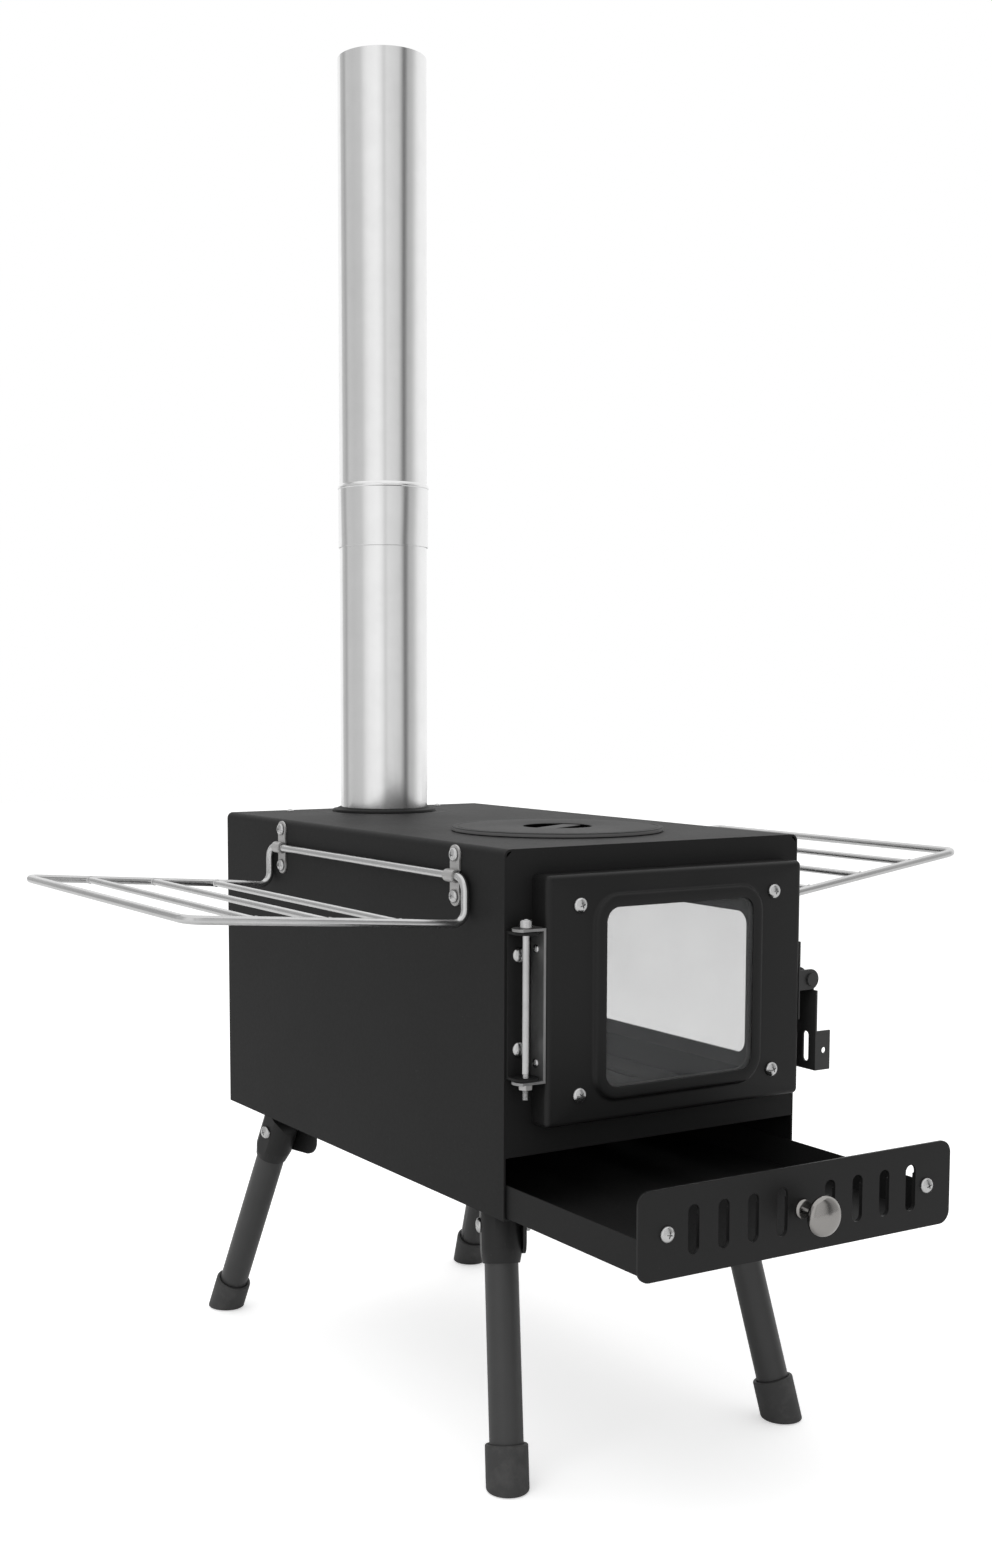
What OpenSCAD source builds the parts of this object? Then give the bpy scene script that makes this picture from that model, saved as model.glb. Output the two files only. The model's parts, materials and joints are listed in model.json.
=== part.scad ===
// Tent wood stove: a folded sheet firebox on four folding legs, with a glazed front door,
// a glazed right wall, a flue pipe in two lengths, a cook lid, an ash drawer and two rod racks.
// Front (door and drawer) faces -Y, the flue is at the back, +Z is up, the floor is z = 0.

/* [Firebox] */
// Width of the firebox, outside
body_w = 204; // [190:1:230]
// Depth of the firebox, front to back
body_d = 350; // [335:1:400]
// Height of the firebox, outside
body_h = 201; // [196:1:230]
// Height of the firebox's underside over the floor
floor_clear = 150.5; // [142:0.5:170]
// Thickness of the firebox's sheet
sheet_t = 1.2; // [0.8:0.1:1.5]
// Outside radius of the folds along the top edges
bend_r = 4; // [2:0.5:6]
// Depth of the return flanges on the front and back panels
flange_d = 10; // [8:1:14]
// Height of the drawer opening under the front panel
drawer_gap_h = 34.3; // [32:0.1:38]

/* [Door] */
// Width of the door pan
door_w = 177.2; // [170:0.1:180]
// Height of the door pan
door_h = 136.2; // [130:0.1:138]
// Depth of the door pan
door_d = 14.4; // [12:0.1:18]
// Sideways place of the door's middle
door_cx = 4.3; // [2:0.1:6]
// Gap from the stove's top down to the door
door_drop = 13.8; // [13:0.1:18]
// Outside radius of the pan's folded edges
pan_r = 3.2; // [2:0.1:5]
// Width of the door's window
window_w = 102; // [90:1:104]
// Height of the door's window
window_h = 98.5; // [88:0.5:100]
// Corner radius of the windows
window_r = 8; // [5:0.5:12]
// Width of the raised band round a window
band_w = 7.4; // [6:0.1:9]
// Height of the raised band
band_rise = 2.6; // [1.5:0.1:3.5]
// Thickness of the window glass
glass_t = 3; // [2:0.1:4]
// How far the glass laps behind the edge of a window
glass_lap = 5.5; // [4:0.1:5.6]
// How far the firebox's door opening lies inside the door's edge
door_lap = 11; // [9:0.5:13]
// Spacing of the door screws, across
door_screw_sx = 135; // [130:1:140]
// Spacing of the door screws, up
door_screw_sz = 103; // [98:1:106]

/* [Side window] */
// Length of the side window
side_win_l = 162; // [140:1:170]
// Height of the side window's lower edge over the fire grate
side_win_sill = 24; // [20:1:40]
// Distance of the side window's front edge from the firebox's front
side_win_y = 36; // [34:1:50]
// Distance of the side window's top edge from the firebox's top
side_win_drop = 48; // [44:1:54]

/* [Door hinge] */
// Diameter of the hinge bolt
hinge_d = 4; // [3:0.5:5]
// Distance of the hinge bolt out from the door's left edge
hinge_out = 9.3; // [8.5:0.1:11]
// Distance of the hinge bolt in front of the firebox
hinge_front = 8; // [7:0.1:9]
// Height between the outer faces of the door bracket's ears
hinge_h = 83.5; // [76:0.5:90]
// Thickness of the hinge brackets
bracket_t = 1.5; // [1:0.1:2]
// Gap from the stove's top down to the hinge bracket
hinge_drop = 41.5; // [36:0.5:46]

/* [Latch] */
// Thickness of the latch's plates
latch_t = 1.2; // [1:0.1:1.5]
// Diameter of the latch's ears
latch_ear_d = 12; // [9:0.5:13]
// Diameter of the latch's pin
latch_pin_d = 5; // [4:0.5:5.5]
// Gap from the stove's top down to the latch's pin
latch_drop = 84; // [76:1:90]
// Length of the latch's arm below its pin
latch_arm_l = 54; // [46:1:58]
// Width of the latch's arm
latch_arm_w = 24; // [22:0.5:26]

/* [Ash drawer] */
// Width of the drawer's front plate
plate_w = 209; // [206:1:236]
// Height of the drawer's front plate
plate_h = 45.5; // [42:0.5:50]
// Thickness of the drawer's front plate
plate_t = 1.5; // [1:0.1:2]
// Corner radius of the front plate
plate_r = 7; // [4:0.5:10]
// Length of the drawer's tray
tray_l = 330; // [300:1:332]
// Height of the drawer's tray
tray_h = 18; // [14:0.5:20]
// Thickness of the tray's sheet
tray_t = 1; // [0.8:0.1:1.2]
// How far the drawer stands out at rest
drawer_out = 121; // [80:1:140]
// Width of an air slot
air_w = 7; // [4:0.5:8]
// Height of an air slot
air_h = 25; // [20:0.5:27]
// Distance of the last air slot from the plate's screw
air_end = 14; // [9:0.5:20]
// Shift of all the air slots to the right
air_shift = 2.5; // [0:0.1:3]
// Distance of the first air slot from the middle
air_first = 16; // [15:0.5:20]
// Diameter of the knob
knob_d = 24; // [20:0.5:26]
// Length of the knob
knob_l = 21; // [20:0.5:28]

/* [Fire grate] */
// Thickness of the grate
grate_t = 2; // [1.5:0.1:3]
// Height of the grate's upper face over the firebox's underside
grate_z = 40; // [38:0.5:44]
// Width of the ledges that carry the grate
ledge_w = 10; // [8:0.5:14]

/* [Flue] */
// Outside diameter of the flue pipe
pipe_d = 60; // [56:1:64]
// Thickness of the flue pipe's wall
pipe_t = 0.6; // [0.5:0.1:1]
// Distance of the flue's middle from the firebox's back
flue_back = 38.6; // [38:0.1:46]
// Height of the lower pipe's top end over the stove's top
pipe_low_h = 222; // [200:1:240]
// Height of the pipe's outlet over the stove's top
pipe_top_h = 506; // [470:1:560]
// Depth of the collar below the stove's top
collar_deep = 18; // [12:1:24]
// Length of the upper pipe's widened end
bell_h = 41; // [30:1:50]
// Outside diameter of the flue collar's flange
collar_d = 72; // [69:1:76]
// Spacing of the two screws behind the flue
top_screw_sx = 119; // [100:1:140]
// Distance of those screws from the firebox's back
top_screw_back = 11.2; // [8:0.2:13]
// Height of the flue collar's neck over the top
collar_h = 3; // [2.5:0.1:8]

/* [Cook lid] */
// Diameter of the cook lid
lid_d = 127; // [110:1:130]
// Distance of the lid's middle from the firebox's front
lid_y = 99; // [90:1:115]
// Thickness of the lid
lid_t = 2.4; // [1.5:0.1:4]
// Diameter of the lid's lifting recess
recess_d = 40; // [34:1:44]
// Depth of the lifting recess
recess_deep = 6; // [5:0.5:9]
// Height of the rim under the lid
rim_h = 3; // [2:0.5:5]
// How far the lid laps over the edge of its hole
lid_lap = 4; // [3:0.5:6]
// Width of the lifting bar
bar_w = 12; // [5:0.5:14]
// Direction of the lifting bar across the recess, in degrees
bar_turn = 28; // [-60:1:60]

/* [Side racks] */
// Diameter of the rack's bent rod
rod_d = 4.8; // [4:0.1:5]
// Diameter of the rack's cross rods
cross_d = 4; // [3:0.1:4.5]
// Gap from the stove's top down to the rack's pivot
rack_drop = 17.8; // [17.8:0.1:24]
// Drop of the rack below its pivot
rack_step = 25.5; // [22:0.5:30]
// Reach of a rack from the firebox's wall to its outer rail
rack_reach = 164; // [140:1:170]
// Distance of the rack's front rail from the firebox's front
rack_front = 35; // [30:1:40]
// Distance of the rack's back rail from the firebox's front
rack_back = 278; // [250:1:290]
// Upward tilt of the left rack, in degrees
tilt_left = 4.5; // [0:0.5:10]
// Upward tilt of the right rack, in degrees
tilt_right = 8.0; // [4:0.5:9]
// Width of a rack clamp's strap
strap_w = 11; // [8:0.5:12]
// Radius of the rod's bends, at its middle
rack_bend_r = 8; // [6:0.5:12]
// Thickness of a rack clamp's strap
strap_t = 1.2; // [1:0.1:1.5]
// Distance between the two screws of a rack clamp
ear_gap = 23; // [21:0.5:23]
// Distance of a clamp in from the rack's end
clamp_in = 14; // [10:1:30]

/* [Legs] */
// Diameter of the leg tubes
leg_d = 19; // [16:0.5:20]
// Outside diameter of the leg sockets
socket_d = 24.5; // [23:0.5:25]
// Outside diameter of the rubber feet
foot_d = 24; // [22:0.5:25]
// Length of the rubber feet
foot_l = 26; // [20:1:30]
// Distance of the leg pivots below the firebox
pivot_drop = 13; // [13:0.5:16]
// Distance of the front pivots in from the firebox's sides
pivot_in_front = 20; // [15:0.5:26]
// Distance of the back pivots in from the firebox's sides
pivot_in_back = 14; // [14:0.5:24]
// Distance of the front pivots from the firebox's front
pivot_front = 34; // [24:1:44]
// Distance of the back pivots from the firebox's back
pivot_back = 48; // [40:1:56]
// Length of a leg socket below its pivot
socket_l = 21; // [19:1:26]
// Wall of the leg tubes
tube_t = 1; // [0.8:0.1:1.5]
// Thickness of the leg brackets
cheek_t = 2; // [1.5:0.1:3]
// Corner radius of the leg brackets
cheek_r = 9; // [6:0.5:10]
// Height of the leg brackets
bracket_drop = 29; // [24:1:32]
// Reach of a leg bracket inward from its pivot
bracket_in = 24; // [20:1:30]
// Thickness of the sole under the leg's tube
foot_sole = 4; // [3:0.5:6]
// Outward lean of the front legs, in degrees
lean_front = 15; // [8:0.5:18]
// Outward lean of the back legs, in degrees
lean_back = 24; // [8:0.5:26]
// Sideways turn of the front legs' lean, in degrees
toe_front = 26; // [0:1:28]
// Sideways turn of the back legs' lean, in degrees
toe_back = 13; // [0:1:20]

/* [Screws] */
// Shank diameter of the screws
screw_d = 4; // [3:0.5:4.5]
// Head diameter of the dome screws
dome_d = 8.6; // [7:0.2:10]
// Head height of the dome screws
dome_h = 2.6; // [2:0.1:3.5]
// Width across the flats of the nuts
nut_af = 7; // [6.5:0.5:8]
// Thickness of the nuts
nut_t = 3; // [2.4:0.1:3.4]

/* [Fits] */
// Gap between parts that slide or rest on each other
rest_gap = 0.3; // [0.25:0.05:0.4]
// Radial clearance of a pin in its running hole
pin_fit = 0.08; // [0.03:0.01:0.1]
// Radial clearance of a screw in a drilled hole
hole_fit = 0.2; // [0.1:0.05:0.4]
// Radial clearance between a leg tube and its socket or foot
tube_fit = 0.1; // [0.05:0.05:0.2]

/* [Hidden] */
$fn = 48;

// Levels and walls of the firebox
over = 1 * rest_gap + 1 * sheet_t;
base_z = floor_clear;
top_z = base_z + body_h;
wall_x = body_w / 2;
inner_x = wall_x - sheet_t;
front_lip_z = base_z + drawer_gap_h;

// Door
door_front_y = -rest_gap - door_d;
door_top_z = top_z - door_drop;
door_mid_z = door_top_z - door_h / 2;
door_left_x = door_cx - door_w / 2;
door_right_x = door_cx + door_w / 2;
glass_top = band_rise - sheet_t - rest_gap;
hinge_screw_shares = [0.21, 0.82];
leaf_screw_shares = [0.12, 0.86];

// Door hinge
hinge_x = door_left_x - hinge_out;
hinge_y = -hinge_front;
hinge_top_z = top_z - hinge_drop;
hinge_low_z = hinge_top_z - hinge_h;
ear_r = hinge_front - rest_gap - 0.1 * sheet_t;
bolt_head_h = 1.1 * hinge_d;
bolt_tail = 2 * nut_t;

// Latch
pin_x = door_right_x + latch_ear_d / 2 + 2.8 * latch_t;
pin_z = top_z - latch_drop;
ear_front_y = door_front_y + latch_t;
knuckle_r = latch_pin_d / 2 + pin_fit + latch_t;
arm_x = pin_x + knuckle_r - latch_t;
arm_front_y = door_front_y - 0.5 * latch_t;
arm_back_y = arm_front_y + latch_arm_w;
stud_y = arm_back_y - latch_arm_w / 5;
stud_z = pin_z - 0.57 * latch_arm_l;
stud_rise = arm_x - wall_x - rest_gap;

// Ash drawer
tray_x = inner_x - 2.5 * rest_gap;
tray_z = base_z + sheet_t + rest_gap;
plate_y = -drawer_out - plate_t;
plate_z = base_z + drawer_gap_h - plate_h + 10.4 * tray_t;
plate_mid_z = plate_z + plate_h / 2;
plate_screw_x = plate_w / 2 - 17.5 * tray_t;
air_count = 4;
air_pitch = (plate_screw_x - air_first - air_end) / (air_count - 1);

// Fire grate
grate_low_z = base_z + grate_z - grate_t;
grate_gap = 4 * rest_gap;
slot_cols_share = [-0.36, -0.18, 0, 0.18, 0.36];
slot_rows = 7;

// Flue
pipe_r = pipe_d / 2;
flue_y = body_d - flue_back;
neck_r = pipe_r + rest_gap;
seat_z = top_z - collar_deep;
bell_r = pipe_r + rest_gap + pipe_t;

// Cook lid
lid_r = lid_d / 2;
lid_hole_r = lid_r - lid_lap;
lid_bottom_z = top_z + rest_gap;

// Side racks
rod_r = rod_d / 2;
pivot_x = wall_x + rod_r + rest_gap;
rack_z = top_z - rack_drop;
saddle_r = rod_r + pin_fit;
cross_shares = [0.24, 0.5, 0.76];

// Legs
leg_front_x = wall_x - pivot_in_front;
leg_back_x = wall_x - pivot_in_back;
leg_z = base_z - pivot_drop;
leg_front_y = pivot_front;
leg_back_y = body_d - pivot_back;
socket_half = socket_d / 2 - 0.5 * cheek_t;
bolt_half = socket_half + rest_gap;
bracket_out = 10 * rest_gap + 0.32 * socket_d;

// Middle of everything, which the origin stands under
foot_reach = foot_d / 2 / cos(lean_back);
back_reach = leg_back_y + leg_z * tan(lean_back) * cos(toe_back)
    + sqrt(pow(foot_reach * cos(toe_back), 2) + pow(foot_d / 2 * sin(toe_back), 2));
front_reach = drawer_out + plate_t + knob_l;
origin_y = (back_reach - front_reach) / 2;

// A rectangle with rounded corners, round the origin
module rounded_rect(w, h, r) {
    square([w - 2 * r, h], center = true);
    square([w, h - 2 * r], center = true);
    for (sx = [-1, 1], sy = [-1, 1])
        translate([sx * (w / 2 - r), sy * (h / 2 - r)]) circle(r);
}

// A slot with round ends, its length along Y
module slot2d(w, l) {
    square([w, l - w], center = true);
    for (s = [-1, 1]) translate([0, s * (l - w) / 2]) circle(w / 2);
}

// A pressed band round a window, rising from the sheet's outer face at z = 0 along +Z
module window_band(w, h, r) {
    translate([0, 0, -sheet_t]) linear_extrude(band_rise + sheet_t) difference() {
        rounded_rect(w + 2 * band_w, h + 2 * band_w, r + band_w);
        rounded_rect(w + 2 * band_w - 2 * sheet_t, h + 2 * band_w - 2 * sheet_t,
                     r + band_w - sheet_t);
    }
    translate([0, 0, band_rise - sheet_t]) linear_extrude(sheet_t) difference() {
        rounded_rect(w + 2 * band_w - sheet_t, h + 2 * band_w - sheet_t,
                     r + band_w - sheet_t / 2);
        rounded_rect(w, h, r);
    }
}

// The hole that a window's band stands in
module window_hole(w, h, r, deep) {
    translate([0, 0, -deep]) linear_extrude(2 * deep)
        rounded_rect(w + 2 * band_w - 2 * sheet_t, h + 2 * band_w - 2 * sheet_t,
                     r + band_w - sheet_t);
}

// A dome-headed screw: head up along +Z from z = 0, shank down
module dome_screw(shank_l, head_d = dome_d, head_h = dome_h) {
    cap_r = (pow(head_d / 2, 2) + pow(head_h, 2)) / (2 * head_h);
    intersection() {
        translate([0, 0, head_h - cap_r]) sphere(cap_r);
        cylinder(h = head_h, r = head_d / 2);
    }
    translate([0, 0, -shank_l]) cylinder(h = shank_l, r = screw_d / 2);
}

// A nut that starts at z = 0 and goes up, bored for a shank
module nut(af = nut_af, t = nut_t, bore_d = screw_d) {
    difference() {
        cylinder(h = t, r = af / sqrt(3), $fn = 6);
        translate([0, 0, -t]) cylinder(h = 3 * t, r = bore_d / 2 + pin_fit / 2);
    }
}

// Turn a shape so that its +Z points to the front, -Y
module to_front() { rotate([90, 0, 0]) children(); }
// Turn a shape so that its +Z points to the right, +X, and its +Y up
module to_right() { rotate([90, 0, 90]) children(); }
module mirror_if(yes, v) {
    if (yes) mirror(v) children();
    else children();
}

// Firebox

module u_section(w, h, r) {
    translate([-w / 2, 0]) square([w, h - r]);
    translate([-w / 2 + r, 0]) square([w - 2 * r, h]);
    for (s = [-1, 1]) translate([s * (w / 2 - r), h - r]) circle(r);
}

module clamp_holes(sx) {
    for (y = [rack_front + clamp_in, rack_back - clamp_in], s = [-1, 1])
        translate([sx * wall_x, y, rack_z + s * ear_gap / 2]) rotate([0, 90, 0])
            cylinder(h = 6 * sheet_t, r = screw_d / 2 + hole_fit, center = true);
}

module shell() {
    color("#2b2c2e") {
        difference() {
            translate([0, body_d, base_z]) rotate([90, 0, 0]) linear_extrude(body_d)
                difference() {
                    u_section(body_w, body_h, bend_r);
                    translate([0, -over]) u_section(body_w - 2 * sheet_t,
                        body_h - sheet_t + over, bend_r - sheet_t);
                }
            translate([0, lid_y, top_z - 2 * sheet_t]) cylinder(h = 4 * sheet_t, r = lid_hole_r,
                $fn = 96);
            translate([0, flue_y, top_z - 2 * sheet_t])
                cylinder(h = 4 * sheet_t, r = neck_r + sheet_t + hole_fit, $fn = 96);
            top_screw_places() cylinder(h = 8 * sheet_t, r = screw_d / 2 + hole_fit, center = true);
            side_window_place() linear_extrude(4 * sheet_t, center = true)
                rounded_rect(side_win_l, side_win_h, window_r);
            side_screw_places() cylinder(h = 6 * sheet_t, r = screw_d / 2 + hole_fit, center = true);
            clamp_holes(-1);
            clamp_holes(1);
        }
    }
}

module front_panel() {
    z_top = top_z - sheet_t;
    color("#242527") difference() {
        union() {
            translate([-inner_x, 0, front_lip_z]) cube([2 * inner_x, sheet_t, z_top - front_lip_z]);
            for (s = [0, 1]) mirror_if(s == 1, [1, 0, 0])
                translate([-inner_x, 0, front_lip_z]) cube([sheet_t, flange_d,
                    z_top - front_lip_z - bend_r]);
            translate([-inner_x, 0, front_lip_z]) cube([2 * inner_x, flange_d, sheet_t]);
        }
        translate([door_cx, 0, door_mid_z]) to_front() translate([0, 0, -2 * sheet_t])
            linear_extrude(4 * sheet_t)
                rounded_rect(door_w - 2 * door_lap, door_h - 2 * door_lap, window_r);
        for (share = hinge_screw_shares) translate([hinge_x, 0, hinge_low_z + share * hinge_h]) to_front()
                cylinder(h = 6 * sheet_t, r = screw_d / 2 + hole_fit, center = true);
        // the corners of the panel follow the shell's folds
        for (s = [-1, 1]) translate([s * inner_x, 0, z_top]) rotate([0, 45, 0])
            cube([1.2 * bend_r, 8 * sheet_t, 1.2 * bend_r], center = true);
    }
}
module back_panel() {
    color("#2b2c2e") difference() {
        union() {
            translate([-inner_x, body_d - sheet_t, base_z + sheet_t])
                cube([2 * inner_x, sheet_t, body_h - 2 * sheet_t]);
            for (s = [0, 1]) mirror_if(s == 1, [1, 0, 0])
                translate([-inner_x, body_d - flange_d, base_z + sheet_t + tray_h + 6 * sheet_t])
                    cube([sheet_t, flange_d, body_h - 2 * bend_r - tray_h - 8 * sheet_t]);
            translate([-inner_x, body_d - 2 * top_screw_back, top_z - 2 * sheet_t])
                cube([2 * inner_x, 2 * top_screw_back, sheet_t]);
        }
        translate([0, flue_y, top_z - collar_deep]) cylinder(h = 2 * collar_deep,
            r = neck_r + 2 * sheet_t, $fn = 96);
        top_screw_places() cylinder(h = 8 * sheet_t, r = screw_d / 2 + hole_fit, center = true);
        for (s = [-1, 1]) translate([s * inner_x, body_d, top_z - sheet_t]) rotate([0, 45, 0])
            cube([1.2 * bend_r, 6 * top_screw_back, 1.2 * bend_r], center = true);
    }
}

module base_plate() {
    color("#2b2c2e") translate([-inner_x, 0, base_z]) cube([2 * inner_x, body_d, sheet_t]);
}

module grate_ledges() {
    color("#333436") for (s = [0, 1]) mirror_if(s == 1, [1, 0, 0]) translate([-inner_x,
        flange_d + rest_gap, 0]) {
        l = body_d - 2 * flange_d - 2 * rest_gap;
        translate([0, 0, grate_low_z - sheet_t]) cube([ledge_w, l, sheet_t]);
        translate([0, 0, grate_low_z - sheet_t - ledge_w / 2]) cube([sheet_t, l, ledge_w / 2 + over / 2]);
    }
}

module fire_grate() {
    w = 2 * inner_x - 2 * grate_gap;
    y0 = flange_d + rest_gap;
    l = body_d - 2 * y0;
    color("#3a3a3b") difference() {
        translate([-w / 2, y0, grate_low_z]) cube([w, l, grate_t]);
        for (share = slot_cols_share, i = [0 : slot_rows - 1])
            translate([share * w, y0 + l * (i + 0.5) / slot_rows, grate_low_z - grate_t])
                linear_extrude(3 * grate_t) slot2d(ledge_w * 0.7, l / slot_rows * 0.66);
    }
}

// Side window, whose own frame has +Z out of the right wall and its length along +X

side_win_h = body_h - side_win_drop - grate_z - side_win_sill;
side_win_mid_y = side_win_y + side_win_l / 2;
side_win_mid_z = top_z - side_win_drop - side_win_h / 2;
side_screw_sx = side_win_l + 2 * band_w + 4.5 * screw_d;
side_screw_sz = side_win_h - screw_d;

module side_window_place() {
    translate([wall_x, side_win_mid_y, side_win_mid_z]) to_right() children();
}
module side_screw_places() {
    side_window_place() for (sx = [-1, 1], sz = [-1, 1])
        translate([sx * side_screw_sx / 2, sz * side_screw_sz / 2, 0]) children();
}

module side_glass() {
    color("#cfd8da", 0.35) side_window_place()
        translate([0, 0, -sheet_t - rest_gap - glass_t]) linear_extrude(glass_t)
            rounded_rect(side_win_l + 2 * glass_lap, side_win_h + 2 * glass_lap,
                window_r + glass_lap);
}

module side_glass_frame() {
    color("#2b2c2e") side_window_place() difference() {
        translate([0, 0, -2 * sheet_t - 2 * rest_gap - glass_t]) linear_extrude(sheet_t)
            rounded_rect(side_screw_sx + 2 * dome_d * 0.7, side_win_h + 2 * band_w, window_r);
        translate([0, 0, -4 * glass_t]) linear_extrude(6 * glass_t)
            rounded_rect(side_win_l - 2 * sheet_t, side_win_h - 2 * sheet_t, window_r);
        for (sx = [-1, 1], sz = [-1, 1])
            translate([sx * side_screw_sx / 2, sz * side_screw_sz / 2, -4 * glass_t])
                cylinder(h = 6 * glass_t, r = screw_d / 2 + hole_fit);
    }
}

module side_glass_screws() {
    grip = 2 * sheet_t + 2 * rest_gap + glass_t;
    color("silver") side_screw_places() {
        dome_screw(grip + nut_t + rest_gap);
        translate([0, 0, -grip - nut_t - rest_gap / 2]) nut();
    }
}

// Flue collar, and the two screws behind it

module top_screw_places() {
    for (s = [-1, 1]) translate([s * top_screw_sx / 2, body_d - top_screw_back, top_z]) children();
}

module flue_collar() {
    r = collar_d / 2;
    w = neck_r + sheet_t;
    color("#242527") translate([0, flue_y, 0]) rotate_extrude($fn = 96) polygon([
        [neck_r - 4 * sheet_t, seat_z - sheet_t], [w, seat_z - sheet_t], [w, top_z],
        [r, top_z], [r, top_z + 0.3 * collar_h], [r - 0.5 * sheet_t, top_z + 0.5 * collar_h],
        [w + 0.8 * sheet_t, top_z + 0.8 * collar_h], [w, top_z + collar_h], [neck_r, top_z + collar_h],
        [neck_r, seat_z], [neck_r - 4 * sheet_t, seat_z]
    ]);
}

module top_screws() {
    s = 0.75;
    color("silver") top_screw_places() {
        scale(s) dome_screw((2 * sheet_t + nut_t * s + rest_gap) / s, dome_d * s, dome_h * s);
        translate([0, 0, -2 * sheet_t - rest_gap / 2 - nut_t * s]) nut(nut_af * s, nut_t * s,
            screw_d * s);
    }
}

// Cook lid

module cook_lid() {
    color("#3b3c3e") translate([0, lid_y, lid_bottom_z]) difference() {
        union() {
            cylinder(h = lid_t, r = lid_r, $fn = 96);
            translate([0, 0, -rim_h - rest_gap]) difference() {
                cylinder(h = rim_h + rest_gap, r = lid_hole_r - 2 * rest_gap, $fn = 96);
                translate([0, 0, -over]) cylinder(h = 2 * rim_h + over, r = lid_hole_r - lid_lap,
                    $fn = 96);
            }
            translate([0, 0, -recess_deep]) cylinder(h = recess_deep, r = recess_d / 2 + sheet_t,
                $fn = 64);
        }
        translate([0, 0, -recess_deep + sheet_t]) cylinder(h = recess_deep + lid_t,
            r = recess_d / 2, $fn = 64);
    }
}

module lid_bar() {
    color("#3b3c3e") translate([0, lid_y, lid_bottom_z + lid_t - sheet_t * 2])
        rotate([0, 0, bar_turn]) intersection() {
            translate([-recess_d, -bar_w / 2, 0]) cube([2 * recess_d, bar_w, sheet_t * 1.6]);
            cylinder(h = 2 * lid_t, r = recess_d / 2, $fn = 64);
        }
}

// Flue pipe

module pipe_lower() {
    z0 = seat_z + rest_gap;
    color("#c9cbcd") translate([0, flue_y, z0]) difference() {
        cylinder(h = top_z + pipe_low_h - z0, r = pipe_r, $fn = 96);
        translate([0, 0, -over]) cylinder(h = pipe_low_h + 2 * collar_deep, r = pipe_r - pipe_t,
            $fn = 96);
    }
}

module pipe_upper() {
    z_low = top_z + pipe_low_h - bell_h;
    z_mid = top_z + pipe_low_h + rest_gap;
    z_top = top_z + pipe_top_h;
    bead = 1.6 * pipe_t;
    slope = 2.5 * pipe_t;
    color("#c9cbcd") translate([0, flue_y, 0]) rotate_extrude($fn = 96) polygon([
        [bell_r - pipe_t, z_low], [bell_r, z_low],
        [bell_r, z_mid - 2 * bead], [bell_r + bead / 2, z_mid - bead], [bell_r, z_mid],
        [pipe_r, z_mid + slope], [pipe_r, z_top], [pipe_r - pipe_t, z_top],
        [pipe_r - pipe_t, z_mid], [bell_r - pipe_t, z_mid]
    ]);
}

// Door

module door_place() { translate([door_cx, door_front_y, door_mid_z]) to_front() children(); }
module door_screw_places() {
    door_place() for (sx = [-1, 1], sz = [-1, 1])
        translate([sx * door_screw_sx / 2, sz * door_screw_sz / 2, 0]) children();
}

module door_pan() {
    color("#1f2022") {
        difference() {
            door_place() union() {
                translate([0, 0, -door_d]) linear_extrude(door_d) difference() {
                    rounded_rect(door_w, door_h, pan_r);
                    rounded_rect(door_w - 2 * sheet_t, door_h - 2 * sheet_t, pan_r - sheet_t);
                }
                translate([0, 0, -sheet_t]) linear_extrude(sheet_t) rounded_rect(door_w, door_h, pan_r);
            }
            door_place() window_hole(window_w, window_h, window_r, 2 * sheet_t);
            door_screw_places() cylinder(h = 6 * sheet_t, r = screw_d / 2 + hole_fit, center = true);
            hinge_door_screw_places() cylinder(h = 8 * sheet_t, r = screw_d / 2 * 0.75 + hole_fit,
                center = true);
        }
        door_place() window_band(window_w, window_h, window_r);
    }
}

module door_glass() {
    color("#cfd8da", 0.35) door_place() translate([0, 0, glass_top - glass_t]) linear_extrude(glass_t)
        rounded_rect(window_w + 2 * glass_lap, window_h + 2 * glass_lap, window_r + glass_lap);
}

module glass_frame() {
    color("#2b2c2e") door_place() translate([0, 0, glass_top - glass_t - rest_gap - sheet_t])
        linear_extrude(sheet_t) difference() {
            rounded_rect(door_screw_sx + 2.6 * screw_d, window_h + 2 * band_w, window_r);
            rounded_rect(window_w, window_h, window_r);
            for (sx = [-1, 1], sz = [-1, 1])
                translate([sx * door_screw_sx / 2, sz * door_screw_sz / 2])
                    circle(screw_d / 2 + hole_fit);
        }
}

module door_screws() {
    grip = glass_t + rest_gap + sheet_t - glass_top;
    color("silver") door_screw_places() {
        dome_screw(grip + nut_t + rest_gap);
        translate([0, 0, -grip - nut_t - rest_gap / 2]) nut();
    }
}

// Door hinge

module hinge_door_screw_places() {
    for (share = leaf_screw_shares)
        translate([door_left_x - bracket_t, door_front_y + door_d / 2 + sheet_t,
            hinge_low_z + share * hinge_h])
            rotate([0, -90, 0]) children();
}

// An ear round the hinge bolt, from z = 0 up, with a web that runs off by l along +X or +Y
module ear(t, r, l, along_y) {
    cylinder(h = t, r = r);
    if (along_y) translate([-r, 0, 0]) cube([2 * r, l, t]);
    else translate([0, -r, 0]) cube([l, 2 * r, t]);
}

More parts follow.
